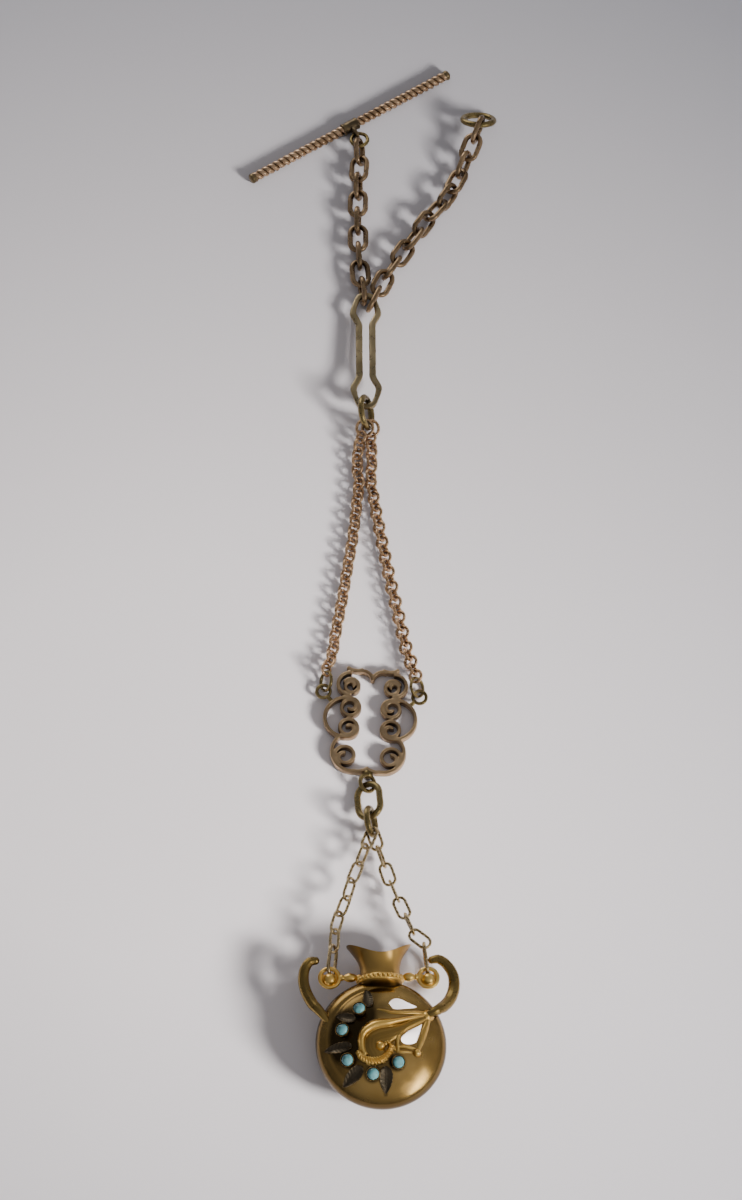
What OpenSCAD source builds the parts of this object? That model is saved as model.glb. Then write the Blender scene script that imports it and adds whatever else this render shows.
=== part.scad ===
// A watch fob as it lies on a table, in millimetres. X is to the right, Y runs from
// the flask pendant towards the toggle bar, and Z is up from the table at 0.

/* [Toggle bar] */
// Length between the two knob caps
toggle_length = 34.2; // [28:0.1:40]
// Thickness of the twisted bar over its two strands
toggle_thickness = 1.55; // [1.2:0.05:2]
// Length of one full turn of the twist
toggle_pitch = 3.35; // [2.4:0.05:5]
// Direction of the bar, counted from +X
toggle_heading = 31.3; // [25:0.1:38]

/* [Cable chain] */
// Outside length of a cable link
cable_length = 4.8; // [4.75:0.05:5]
// Outside width of a cable link
cable_width = 3.15; // [2.9:0.05:3.5]
// Wire of a cable link
cable_wire = 0.8; // [0.6:0.05:0.85]
// Outside diameter of the ring that takes the watch
watch_ring_d = 5.6; // [5:0.1:7]
// Wire of the watch ring
watch_ring_wire = 0.95; // [0.8:0.05:1.1]

/* [Keyhole link] */
// Outside length of the long link
keyhole_length = 19.5; // [19:0.1:20]
// Thickness of the long link's flat bars
keyhole_thickness = 0.8; // [0.6:0.05:0.9]

/* [Fork] */
// Outside diameter of the ring where the two fine chains fork
fork_ring_d = 5.4; // [5.2:0.1:5.8]
// Wire of the fork ring
fork_ring_wire = 0.95; // [0.8:0.05:1]
// Outside diameter of a fine round link
fine_link_d = 2.25; // [2.2:0.05:2.3]
// Wire of a fine round link
fine_wire = 0.45; // [0.35:0.05:0.5]

/* [Plaque] */
// Width of the ribbon that the scrolls are bent from, seen from above
ribbon_width = 0.75; // [0.5:0.05:1]
// Depth of the ribbon, which stands on its edge
ribbon_depth = 1.5; // [1:0.1:2]

/* [Pendant chains] */
// Outside diameter of the ring that carries the pendant chains
hanger_ring_d = 4.7; // [4.5:0.1:5]
// Outside length of a pendant chain's link
pendant_link_length = 3.7; // [3.6:0.05:3.9]
// Outside width of a pendant chain's link
pendant_link_width = 2.1; // [2:0.05:2.3]
// Wire of a pendant chain's link
pendant_wire = 0.42; // [0.35:0.01:0.45]

/* [Flask] */
// Diameter of the flask's body
flask_d = 18; // [17.6:0.1:18.4]
// Greatest thickness of the flask's body
flask_thickness = 8; // [7.6:0.1:8.4]
// Wall of the hollow body
flask_wall = 0.5; // [0.4:0.05:0.7]
// Width of the neck's lip over its two horns
lip_width = 9; // [8:0.1:9.4]
// Diameter of the turquoise cabochons
stone_d = 1.65; // [1.4:0.05:1.7]
// Number of flutes in the scroll's fringe
flutes = 13; // [9:1:15]

/* [Hidden] */
// Clearance between soldered-looking pieces that stay separate solids
seat_gap = 0.06;
// Clearance that interlocked wires keep
link_gap = 0.12;
round_fn = 48;

// Every place below is measured from one point of the table. This shift brings the
// middle of the whole outline to the origin.
layout_shift = [-0.27, -5.7, 0];

// Toggle bar: middle of the bar above the table
toggle_at = [-3.2, 77.8, 0.95];
toggle_collar = [0.95, 2.6];
toggle_cap_d = 1.7;
eye_radius = 0.85;
eye_wire = 0.55;
eye_reach = 1.55;
eye_lift = 0.18;
toggle_ring_radius = 1.25;
toggle_ring_wire = 0.55;
toggle_ring_at = [-1.76, 75.25, 1.38];
toggle_ring_turn = [-12, 6];

// Keyhole link: the outline of one quarter, from the middle of the link to its end
// columns: distance along the link, half width outside, half width inside
keyhole_shape = [
    [0.0, 1.50, 0.48],
    [4.1, 1.50, 0.48],
    [6.1, 2.35, 1.30],
    [8.2, 1.80, 1.00],
    [8.9, 1.55, 0.55],
    [9.75, 0.85, 0]
];
keyhole_scale = keyhole_length / 19.5;
keyhole_top = [-0.85, 48.85, 1.6];
keyhole_bottom = [-0.68, 29.33, 2.55];

// Routes of the chains, each from the wire it starts at to the wire it ends at
bar_route = [
    [-1.14, 48.38, 1.6], [-1.6, 52.0, 1.6], [-1.95, 57.0, 1.6], [-2.0, 62.0, 1.6],
    [-1.95, 68.0, 1.6], [-1.7, 71.5, 1.6], [-1.79, 74.2, 1.73]
];
watch_route = [
    [0.08, 47.1, 1.6], [2.3, 51.9, 1.6], [5.3, 56.5, 1.6], [8.5, 61.4, 1.6],
    [11.7, 65.4, 1.6], [13.6, 69.3, 1.6], [16.25, 75.87, 3.34]
];
fork_left_route = [
    [-1.45, 25.05, 1.9], [-1.95, 22.8, 1.2], [-2.05, 20.8, 0.9], [-1.75, 18.0, 0.9],
    [-2.2, 13.5, 0.9], [-2.7, 9.0, 0.91], [-3.5, 4.0, 0.92], [-4.1, 0.0, 0.93],
    [-5.0, -5.0, 0.94], [-5.6, -9.0, 0.96], [-6.4, -11.44, 1.7]
];
fork_right_route = [
    [0.0, 25.3, 1.02], [0.15, 22.0, 0.9], [-0.05, 18.5, 0.9], [0.75, 13.5, 0.92],
    [1.75, 8.0, 0.945], [2.8, 2.5, 0.965], [4.0, -3.0, 0.99], [5.0, -7.8, 1.02],
    [6.38, -12.39, 1.52]
];
pendant_left_route = [
    [-0.22, -37.1, 2.82], [-2.6, -43.2, 2.9], [-3.5, -46.2, 3.3], [-5.0, -50.6, 4.1],
    [-5.07, -52.4, 4.04]
];
pendant_right_route = [
    [0.56, -37.0, 1.97], [2.65, -43.2, 2.1], [4.0, -46.6, 2.5], [6.1, -51.5, 3.3],
    [6.75, -51.9, 3.3]
];

// Rings between the chains
watch_ring_at = [16.4, 78.3, 2.06];
watch_ring_tilt = 42;
first_link_d = 2.85;
// Larger first links of the fine chains: place, then tilt and turn
first_link_left = [[-0.9, 26.31, 2.44], [22.6, 15.8]];
first_link_right = [[-0.07, 26.7, 1.43], [23.4, 24.9]];
fork_ring_at = [-0.7, 28.75, 2.66];
fork_ring_lean = 20;
plaque_ring_d = 3.2;
plaque_ring_wire = 0.45;
plaque_ring_left_at = [-6.43, -13.09, 1.4];
plaque_ring_right_at = [6.59, -14.0, 1.3];
side_loop_radius = 0.95;
side_loop_wire = 0.5;
side_loop_left = [-6.8, -14.5, 0.95];
side_loop_right = [6.95, -15.4, 0.95];
bottom_loop_radius = 1.22;
bottom_loop_wire = 0.6;
bottom_loop_at = [-0.5, -28.45, 1.3];
drop_ring_size = [6.2, 4.4, 0.95];
drop_ring_from = [-0.53, -28.75, 1.21];
drop_ring_to = [-0.08, -33.71, 2.16];
drop_ring_roll = 26;
hanger_wire = 0.9;
hanger_ring_at = [0, -34.56, 2.44];
hanger_ring_turn = [5, -17.5];

// Plaque: its middle on the table and its turn
plaque_at = [-0.15, -19.2, 0];
plaque_turn = -3.5;

// Scrolls of the plaque's right half in its own plane, mirrored for the left half
// columns: centre x, centre y, radius of the ribbon's middle, start angle, sweep
scroll_arcs = [
    [3.5, 0.5, 2.98, -112, 227],
    [2.92, 2.1, 1.28, 100, 270],
    [3.0, -1.13, 1.28, -97, -270],
    [3.15, 5.6, 1.72, -95, 190],
    [3.0, 5.3, 1.05, 20, 320],
    [3.3, -5.35, 1.42, -60, 330],
    [2.2, -4.6, 2.95, -100, 147],
    [1.5, -4.9, 2.65, -128, 45],
    [1.45, 6.2, 1.45, 70, 110],
    [2.4, 9.75, 2.1, -118, 66]
];
// Solder lugs of the plaque's loops: each from the loop's edge to the ribbon
loop_lug_d = 0.6;

// Flask: its middle, its turn on the table and its lean to the right
flask_turn = 2.5;
flask_lean = 6;
body_r = flask_d / 2;
body_h = flask_thickness / 2;
rim_r = 1.9;
// The dome is one arc that runs on into the round rim without a step
cap_r = (body_r * body_r - 2 * body_r * rim_r + body_h * body_h)
    / (2 * (body_h - rim_r));
cap_end = cap_r * (body_r - rim_r) / (cap_r - rim_r);
// The leaning flask rests on the back of its dome
flask_at = [1.37, -67.14, cap_r - (cap_r - body_h) * cos(flask_lean) + 0.01];
neck_u = 0.3;
collar_v = 8.95;
collar_r = 3.1;
arm_v = 9.5;
lip_v = 14;
lip_dip = 1.75;
saddle_r = (lip_width * lip_width / 4 + lip_dip * lip_dip) / (2 * lip_dip);
// Slant of the pierced openings, from the right of the flask's own axis
opening_tilt = [15, -5, 0];
rosette_radius = 1.3;
rosette_wire = 0.8;
rosettes = [[-6.7, 9.5], [6.95, 9.35]];
pendant_ring_size = [4.9, 2.4, 0.42];

// Neck outline above the body: columns: height v, outer radius
neck_shape = [
    [7.9, 2.9], [8.6, 3.0], [9.4, 2.85], [10.3, 2.74], [11.2, 2.85], [12.1, 3.2],
    [13.0, 3.75], [13.6, 4.18], [lip_v, lip_width / 2]
];
neck_wall = 0.35;

// Pierced openings of the body: columns: u, v
teardrop = [
    [1.05, 5.0], [1.8, 5.65], [2.6, 5.6], [3.7, 4.95], [4.9, 4.35], [2.7, 4.1], [1.5, 4.3]
];
triangle_hole = [
    [5.85, 2.3], [4.1, 1.4], [2.5, 0.2], [2.45, -0.6], [3.1, -1.0], [4.45, -0.9], [5.0, -0.1]
];

// Raised bands of the scroll: columns: u, v, half width, height
horn_band = [
    [6.3, 3.55, 0.25, 0.4], [5.2, 3.1, 0.36, 0.5], [3.6, 2.55, 0.55, 0.7],
    [2.0, 2.15, 0.74, 0.9], [0.4, 1.9, 0.85, 1.1], [-1.0, 1.55, 0.92, 1.25],
    [-2.15, 0.9, 0.95, 1.3], [-2.8, -0.2, 0.9, 1.15], [-2.95, -1.3, 0.7, 0.8],
    [-2.8, -2.0, 0.4, 0.45]
];
// The hollow side of the horn, which fills it down to the fringe
inner_band = [
    [5.6, 2.9, 0.25, 0.3], [3.6, 2.0, 0.5, 0.4], [1.8, 1.15, 0.85, 0.5],
    [0.4, 0.55, 1.1, 0.55], [-0.9, -0.25, 1.2, 0.5], [-1.3, -1.4, 1.0, 0.45],
    [-0.8, -2.3, 0.6, 0.4]
];
fringe_band = [
    [-3.3, -1.75, 0.3, 0.3], [-2.7, -2.6, 0.42, 0.45], [-1.8, -3.1, 0.5, 0.6],
    [-0.75, -3.2, 0.52, 0.7], [0.1, -2.7, 0.46, 0.75], [0.6, -1.95, 0.4, 0.75],
    [0.7, -1.3, 0.36, 0.7], [0.35, -0.85, 0.25, 0.6], [-0.05, -0.85, 0.18, 0.45]
];
top_rib = [
    [6.3, 3.95, 0.22, 0.3], [5.0, 3.88, 0.24, 0.35], [3.0, 3.68, 0.24, 0.4],
    [1.2, 3.68, 0.24, 0.4], [0.3, 4.0, 0.2, 0.3]
];
lower_rib = [
    [6.3, 3.1, 0.25, 0.35], [4.9, 1.85, 0.3, 0.45], [3.2, 0.9, 0.3, 0.5],
    [2.0, 0.0, 0.3, 0.5], [1.75, -0.9, 0.28, 0.5], [1.95, -1.75, 0.25, 0.45]
];
upper_bar = [[1.7, -1.42, 0.2, 0.4], [3.7, -1.5, 0.2, 0.45]];
lower_bar = [[1.75, -1.98, 0.2, 0.4], [4.15, -1.96, 0.2, 0.45]];
side_ridge = [
    [6.4, 2.9, 0.24, 0.3], [5.8, 1.0, 0.26, 0.3], [5.3, -0.4, 0.26, 0.3],
    [4.9, -1.4, 0.24, 0.3]
];
boss = [-0.5, -1.3, 0.62];
bar_ball = [4.4, -1.95, 0.45];

// Leaves: columns: base u, base v, tip u, tip v, half width
leaves = [
    [-1.75, 4.4, -2.0, 7.1, 0.6],
    [-3.7, 2.7, -6.3, 3.4, 0.6],
    [-4.3, -0.95, -8.0, -1.3, 0.6],
    [-3.05, -3.8, -5.6, -6.2, 0.78],
    [0.1, -3.9, 0.1, -7.4, 0.8]
];
// How far a leaf's edges rise above its fold, and the thickness of its sheet
leaf_rise = 0.27;
leaf_sheet = 0.18;

// Settings: columns: u, v
settings = [[-3.05, 3.75], [-5.3, 1.05], [-4.8, -2.85], [-1.65, -4.75], [1.6, -3.38]];
collet_wall = 0.12;
collet_height = 1.1;

// Handles, each from its root on the rim to its free tip
// columns: u, v, height, tube radius
handle_left_path = [
    [-8.15, 4.2, 1.75, 0.45], [-8.6, 4.7, 1.5, 0.62], [-9.3, 5.7, 0.9, 0.72],
    [-10.0, 7.4, 0.3, 0.76], [-10.3, 9.1, 0, 0.75], [-10.1, 10.7, 0, 0.72],
    [-9.4, 11.8, 0, 0.68], [-8.5, 11.95, 0, 0.62]
];
handle_right_path = [
    [7.0, 4.0, 2.4, 0.4], [7.8, 4.3, 2.1, 0.6], [8.8, 4.95, 1.3, 0.74],
    [9.8, 6.15, 0.5, 0.8], [10.45, 7.8, 0.1, 0.8], [10.45, 9.6, 0, 0.76],
    [9.7, 11.1, 0, 0.72], [8.6, 11.95, 0, 0.68], [7.5, 11.85, 0, 0.62]
];

old_gold = "#8f7048";
rose_gold = "#9c7a58";
dark_gold = "#5c4a2c";
bright_gold = "#a8803c";
plaque_gold = "#94765a";
leaf_black = "#3a3026";
turquoise = "#6fb9bf";

// Geometry helpers

// Length of a route of points
function route_length(r, i = 0) =
    i >= len(r) - 1 ? 0 : norm(r[i + 1] - r[i]) + route_length(r, i + 1);

// Point at a distance along a route, running straight on past its ends
function along(r, s, i = 0) =
    let (d = norm(r[i + 1] - r[i]))
    (s <= d || i == len(r) - 2) ? r[i] + (r[i + 1] - r[i]) * s / d
        : along(r, s - d, i + 1);

// One smooth curve through rows of any width, with steps points between two rows
function blend(a, b, c, d, t) =
    0.5 * (2 * b + (c - a) * t + (2 * a - 5 * b + 4 * c - d) * t * t
        + (3 * b - a - 3 * c + d) * t * t * t);
function smooth(p, steps) = concat(
    [for (i = [0:len(p) - 2], k = [0:steps - 1])
        blend(p[max(i - 1, 0)], p[i], p[i + 1], p[min(i + 2, len(p) - 1)], k / steps)],
    [p[len(p) - 1]]
);
function smooth_loop(p, steps) =
    let (n = len(p))
    [for (i = [0:n - 1], k = [0:steps - 1])
        blend(p[(i + n - 1) % n], p[i], p[(i + 1) % n], p[(i + 2) % n], k / steps)];

// Direction of a list of points at index i
function heading(p, i) =
    let (d = p[min(i + 1, len(p) - 1)] - p[max(i - 1, 0)]) d / norm(d);

// Triangles that join rings of m points each, with a closed cap at both ends
function tube_faces(n, m) = concat(
    [for (i = [0:n - 2], j = [0:m - 1])
        [i * m + j, (i + 1) * m + j, i * m + (j + 1) % m]],
    [for (i = [0:n - 2], j = [0:m - 1])
        [i * m + (j + 1) % m, (i + 1) * m + j, (i + 1) * m + (j + 1) % m]],
    [for (j = [1:m - 2]) [0, j, j + 1]],
    [for (j = [1:m - 2]) [(n - 1) * m, (n - 1) * m + j + 1, (n - 1) * m + j]]
);

// Height of the flask's front above its middle plane
function dome(u, v) =
    let (r = norm([u, v]))
    r < cap_end ? sqrt(cap_r * cap_r - r * r) - (cap_r - body_h)
        : sqrt(max(0.01, rim_r * rim_r - pow(r - (body_r - rim_r), 2)));

// Wire pieces

module torus(radius, wire) {
    rotate_extrude($fn = round_fn)
        translate([radius, 0])
            circle(d = wire, $fn = 24);
}

module half_torus(radius, wire) {
    rotate_extrude(angle = 180, $fn = round_fn)
        translate([radius, 0])
            circle(d = wire, $fn = 24);
}

// An oval link of round wire in the XY plane, its length along X
module oval_link(size) {
    wire = size[2];
    radius = (size[1] - wire) / 2;
    half = (size[0] - size[1]) / 2;
    for (side = [0, 180])
        rotate([0, 0, side]) {
            translate([half, 0, 0])
                rotate([0, 0, -90])
                    half_torus(radius, wire);
            translate([-half, radius, 0])
                rotate([0, 90, 0])
                    cylinder(d = wire, h = 2 * half, $fn = 24);
        }
}

// Turns a child's X axis along a direction and rolls it about that axis
module aim(at, direction, roll) {
    translate(at)
        rotate([0, 0, atan2(direction[1], direction[0])])
            rotate([0, -atan2(direction[2], norm([direction[0], direction[1]])), 0])
                rotate([roll, 0, 0])
                    children();
}

// Evenly spaced links along a route, each turned a quarter against the one before
// ends: from the route's start to the first link's middle, and the same at its end
// rolls: roll of the first link and of the last
module lay_chain(route, count, ends, rolls) {
    run = route_length(route) - ends[0] - ends[1];
    pitch = run / (count - 1);
    for (i = [0:count - 1]) {
        s = ends[0] + i * pitch;
        aim(along(route, s), along(route, s + pitch / 2) - along(route, s - pitch / 2),
            rolls[0] + (rolls[1] - rolls[0]) * i / (count - 1) + 90 * (i % 2))
            children();
    }
}

// Toggle bar

module twisted_half(length) {
    strand = toggle_thickness * 0.27;
    linear_extrude(height = length, twist = -360 * length / toggle_pitch,
        slices = round(length / toggle_pitch * 10))
        for (side = [-1, 1])
            translate([side * strand * 0.85, 0])
                circle(r = strand, $fn = 8);
}

module toggle_bar() {
    half = toggle_length / 2;
    color(old_gold)
        translate(toggle_at)
            rotate([0, 0, toggle_heading]) {
                for (side = [-1, 1])
                    rotate([0, side * 90, 0]) {
                        translate([0, 0, toggle_collar[1] / 2 - 0.1])
                            twisted_half(half - toggle_collar[1] / 2 - 0.2);
                        translate([0, 0, half])
                            sphere(d = toggle_cap_d, $fn = round_fn);
                    }
                rotate([0, 90, 0])
                    cylinder(r = toggle_collar[0], h = toggle_collar[1], center = true,
                        $fn = round_fn);
                translate([0, -eye_reach, eye_lift])
                    rotate([0, 90, 0])
                        torus(eye_radius, eye_wire);
            }
}

module toggle_ring() {
    color(dark_gold)
        translate(toggle_ring_at)
            rotate([toggle_ring_turn[0], 0, toggle_ring_turn[1]])
                torus(toggle_ring_radius, toggle_ring_wire);
}

// Cable chains and their ring

cable_size = [cable_length, cable_width, cable_wire];
// From a bar's middle to the middle of the link that hooks it
hook_bar = (cable_length - cable_wire) / 2 - 1.08;
hook_ring = (cable_length - cable_wire) / 2
    - (toggle_ring_wire + cable_wire) / 2 - link_gap;

module bar_chain() {
    color(rose_gold)
        lay_chain(bar_route, 9, [hook_bar, hook_ring], [99, 66])
            oval_link(cable_size);
}

module watch_chain() {
    color(rose_gold)
        lay_chain(watch_route, 12, [hook_bar, 0], [100, 177])
            oval_link(cable_size);
}

module watch_ring() {
    radius = (watch_ring_d - watch_ring_wire) / 2;
    color(dark_gold)
        translate(watch_ring_at)
            rotate([-watch_ring_tilt, 0, -3])
                torus(radius, watch_ring_wire);
}

// Keyhole link

module keyhole_outline(column) {
    quarter = [for (row = keyhole_shape)
        if (column == 1 || row[2] > 0) [row[0] * keyhole_scale, row[column]]];
    n = len(quarter);
    polygon(concat(
        quarter,
        [for (i = [n - 1:-1:0]) [quarter[i][0], -quarter[i][1]]],
        [for (i = [1:n - 1]) [-quarter[i][0], -quarter[i][1]]],
        [for (i = [n - 1:-1:1]) [-quarter[i][0], quarter[i][1]]]
    ));
}

module keyhole_link() {
    color(dark_gold)
        aim((keyhole_top + keyhole_bottom) / 2, keyhole_bottom - keyhole_top, 0)
            linear_extrude(height = keyhole_thickness, center = true)
                difference() {
                    keyhole_outline(1);
                    keyhole_outline(2);
                }
}

// Fork ring and the fine chains

module fork_ring() {
    color(dark_gold)
        translate(fork_ring_at)
            rotate([0, 90 - fork_ring_lean, 0])
                torus((fork_ring_d - fork_ring_wire) / 2, fork_ring_wire);
}

// A fine chain: one larger link on the fork ring, then even round links
module fine_chain(route, count, rolls, first) {
    translate(first[0])
        rotate([first[1][0], 0, first[1][1]])
            torus((first_link_d - fine_wire) / 2, fine_wire);
    lay_chain(route, count, [0, 0], rolls)
        torus((fine_link_d - fine_wire) / 2, fine_wire);
}

module fork_chain_left() {
    color(rose_gold)
        fine_chain(fork_left_route, 32, [45, 37], first_link_left);
}

module fork_chain_right() {
    color(rose_gold)
        fine_chain(fork_right_route, 33, [45, 27], first_link_right);
}

module plaque_ring(at, turn, roll) {
    color(dark_gold)
        translate(at)
            rotate([0, 0, turn])
                rotate([0, roll, 0])
                    torus((plaque_ring_d - plaque_ring_wire) / 2, plaque_ring_wire);
}

module plaque_ring_left() {
    plaque_ring(plaque_ring_left_at, 5, -57);
}

module plaque_ring_right() {
    plaque_ring(plaque_ring_right_at, -3, 51);
}

// Filigree plaque

// A bent ribbon seen from above: an arc of the ribbon's width
module ribbon_arc(radius, start, sweep) {
    difference() {
        circle(r = radius + ribbon_width / 2, $fn = 96);
        circle(r = radius - ribbon_width / 2, $fn = 96);
        // What the arc leaves out is cut away as a fan
        polygon(concat([[0, 0]], [for (i = [0:8])
            2.2 * radius * [
                cos(start + sweep + i * (360 * sign(sweep) - sweep) / 8),
                sin(start + sweep + i * (360 * sign(sweep) - sweep) / 8)
            ]]));
    }
}

module plaque_half() {
    for (arc = scroll_arcs)
        translate([arc[0], arc[1]])
            ribbon_arc(arc[2], arc[3], arc[4]);
}

// A solder lug between two points at the loops' height
module loop_lug(from, to) {
    aim(from, to - from, 0)
        rotate([0, 90, 0])
            cylinder(d = loop_lug_d, h = norm(to - from), $fn = 24);
}

// From a loop's edge to the middle of the ribbon of the big scroll beside it
module side_lug(loop, side) {
    arc = scroll_arcs[0];
    turned = [side * arc[0] * cos(plaque_turn) - arc[1] * sin(plaque_turn),
        side * arc[0] * sin(plaque_turn) + arc[1] * cos(plaque_turn), loop[2]];
    run = plaque_at + turned - loop;
    unit = run / norm(run);
    loop_lug(loop + unit * side_loop_radius, loop + run - unit * arc[2]);
}

module filigree_plaque() {
    color(plaque_gold) {
        side_lug(side_loop_left, -1);
        side_lug(side_loop_right, 1);
        translate([bottom_loop_at[0], bottom_loop_at[1] + bottom_loop_radius + 0.25, 0])
            cylinder(d = 1.3, h = ribbon_depth, $fn = round_fn);
        translate(plaque_at)
            rotate([0, 0, plaque_turn])
                linear_extrude(height = ribbon_depth) {
                    plaque_half();
                    mirror([1, 0])
                        plaque_half();
                }
        for (at = [side_loop_left, side_loop_right])
            translate(at)
                torus(side_loop_radius, side_loop_wire);
        translate(bottom_loop_at)
            rotate([0, 35, 0])
                torus(bottom_loop_radius, bottom_loop_wire);
    }
}

// Drop ring, hanger ring and pendant chains

module drop_ring() {
    color(dark_gold)
        aim((drop_ring_from + drop_ring_to) / 2, drop_ring_to - drop_ring_from,
            drop_ring_roll)
            oval_link(drop_ring_size);
}

module hanger_ring() {
    color(dark_gold)
        translate(hanger_ring_at)
            rotate([0, 90 + hanger_ring_turn[1], hanger_ring_turn[0]])
                torus((hanger_ring_d - hanger_wire) / 2, hanger_wire);
}

pendant_size = [pendant_link_length, pendant_link_width, pendant_wire];

module pendant_chain_left() {
    color(old_gold)
        lay_chain(pendant_left_route, 7, [0, 0], [24, 47])
            oval_link(pendant_size);
}

module pendant_chain_right() {
    color(old_gold)
        lay_chain(pendant_right_route, 7, [0, 0], [23, -4])
            oval_link(pendant_size);
}

module at_flask() {
    translate(flask_at)
        rotate([0, 0, flask_turn])
            rotate([0, flask_lean, 0])
                children();
}

module pendant_ring_left() {
    color(rose_gold)
        translate([-5.34, -55.34, 4.46])
            rotate([66, 11, 84])
                oval_link(pendant_ring_size);
}

module pendant_ring_right() {
    color(rose_gold)
        translate([7.55, -54.81, 3.28])
            rotate([90, -2.5, 97])
                oval_link(pendant_ring_size);
}

// Flask body, neck, collar, arms and rosettes

// Half outline of the hollow body at a distance inside its outer face
function lens_outline(inset) =
    let (cap_angle = asin(cap_end / cap_r), r = cap_r - inset, rim = rim_r - inset)
    concat(
        [for (i = [0:6])
            let (a = cap_angle * i / 6) [r * sin(a), r * cos(a) - (cap_r - body_h)]],
        [for (i = [1:8])
            let (a = (90 - cap_angle) * (1 - i / 4))
            [body_r - rim_r + rim * cos(a), rim * sin(a)]],
        [for (i = [5:-1:0])
            let (a = cap_angle * i / 6) [r * sin(a), (cap_r - body_h) - r * cos(a)]]
    );

module opening(points, grow) {
    n = len(points);
    middle = [for (k = [0, 1]) [for (p = points) p[k]] * [for (p = points) 1 / n]];
    polygon([for (p = smooth_loop(points, 3)) middle + grow * (p - middle)]);
}

module flask_shell() {
    difference() {
        rotate_extrude($fn = 96)
            polygon(lens_outline(0));
        rotate_extrude($fn = 96)
            polygon(lens_outline(flask_wall));
        for (points = [teardrop, triangle_hole])
            flask_opening(points);
    }
}

// The opening narrows at the front and is wider at the back, along one slanted line
module flask_opening(points) {
    n = len(points);
    middle = [for (k = [0, 1]) [for (p = points) p[k]] * [for (p = points) 1 / n]];
    lift = dome(middle[0], middle[1]);
    translate([middle[0], middle[1], lift])
        rotate(opening_tilt)
            translate([-middle[0], -middle[1], 0]) {
                translate([0, 0, -2.2])
                    linear_extrude(height = 5)
                        opening(points, 1);
                translate([0, 0, -12])
                    linear_extrude(height = 10.2)
                        opening(points, 1.25);
            }
}

module neck() {
    outer = [for (row = neck_shape) [row[1], row[0]]];
    n = len(outer);
    // The mouth is open down to the collar
    inner = [for (i = [n - 1:-1:2]) outer[i] - [neck_wall, 0]];
    translate([neck_u, 0, 0])
        difference() {
            rotate([-90, 0, 0])
                rotate_extrude($fn = 96)
                    polygon(concat([[0, outer[0][1]]], outer, inner, [[0, inner[n - 3][1]]]));
            translate([0, lip_v + saddle_r - lip_dip, -8])
                cylinder(r = saddle_r, h = 16, $fn = 180);
        }
}

module collar() {
    translate([neck_u, collar_v, 0])
        rotate([-90, 0, 0]) {
            torus(collar_r - 0.2, 0.6);
            for (i = [0:23])
                rotate([0, 0, i * 15])
                    translate([collar_r, 0, 0])
                        sphere(r = 0.34, $fn = 24);
        }
}

module rosette_arm(side, rosette) {
    translate([neck_u + side * 2.6, arm_v, 0])
        rotate([0, side * 90, 0])
            cylinder(r = 0.4, h = abs(rosette[0] - neck_u) - 2.6 - rosette_radius,
                $fn = 32);
    translate([neck_u + side * (collar_r + 0.95), arm_v, 0.05])
        sphere(r = 0.6, $fn = 32);
    translate([rosette[0], rosette[1], 0]) {
        torus(rosette_radius, rosette_wire);
        translate([0, -0.55, 0.55])
            sphere(r = 0.7, $fn = 32);
    }
}

module flask() {
    color(bright_gold)
        at_flask() {
            flask_shell();
            neck();
            collar();
            rosette_arm(-1, rosettes[0]);
            rosette_arm(1, rosettes[1]);
        }
}

// Handles

// Round tube along rows of u, v, height and radius
module swept_tube(path, sides, steps) {
    rows = smooth(path, steps);
    n = len(rows);
    centres = [for (row = rows) [row[0], row[1], row[2]]];
    polyhedron(
        points = [for (i = [0:n - 1], j = [0:sides - 1])
            let (h = heading(centres, i), a = 360 * j / sides, r = rows[i][3],
                side = [-h[1], h[0], 0] / norm([h[0], h[1]]),
                up = cross(h, side))
            centres[i] + r * (cos(a) * side + sin(a) * up)],
        faces = tube_faces(n, sides)
    );
}

module handle_left() {
    color(dark_gold)
        at_flask()
            swept_tube(handle_left_path, 12, 3);
}

module handle_right() {
    color(bright_gold)
        at_flask()
            swept_tube(handle_right_path, 12, 3);
}

// Scroll ornament

// A raised band that follows the dome, half round across
module relief_band(table, steps) {
    rows = smooth(table, steps);
    n = len(rows);
    m = 7;
    centres = [for (row = rows) [row[0], row[1]]];
    polyhedron(
        points = [for (i = [0:n - 1], j = [0:m - 1])
            let (h = heading(centres, i), a = 180 * j / (m - 1),
                u = centres[i][0] - h[1] * rows[i][2] * cos(a),
                v = centres[i][1] + h[0] * rows[i][2] * cos(a))
            [u, v, dome(u, v) + 2 * seat_gap + rows[i][3] * sin(a)]],
        faces = tube_faces(n, m)
    );
}

// A bead that sits on the dome
module relief_bead(bead) {
    translate([bead[0], bead[1], dome(bead[0], bead[1]) + bead[2] + 2 * seat_gap])
        sphere(r = bead[2], $fn = 12);
}

// Short ridges across the fringe, one for each flute
module fringe_flutes() {
    rows = smooth(fringe_band, 6);
    n = len(rows);
    centres = [for (row = rows) [row[0], row[1]]];
    for (k = [1:flutes]) {
        i = round(k * (n - 1) / (flutes + 1));
        h = heading(centres, i);
        hull()
            for (side = [-1, 1]) {
                u = centres[i][0] - (h[1] * side - h[0] * side * 0.45) * rows[i][2];
                v = centres[i][1] + (h[0] * side + h[1] * side * 0.45) * rows[i][2];
                translate([u, v, dome(u, v) + 0.38 + rows[i][3] * (0.62 - side * 0.3)])
                    sphere(r = 0.16, $fn = 6);
            }
    }
}

module scroll_ornament() {
    color(bright_gold)
        at_flask() {
            relief_band(horn_band, 4);
            relief_band(inner_band, 3);
            relief_band(fringe_band, 4);
            relief_band(top_rib, 3);
            relief_band(lower_rib, 3);
            relief_band(side_ridge, 3);
            relief_band(upper_bar, 3);
            relief_band(lower_bar, 3);
            fringe_flutes();
            relief_bead(boss);
            relief_bead(bar_ball);
        }
}

// Leaves: pointed, with both edges raised above the fold between them

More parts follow.
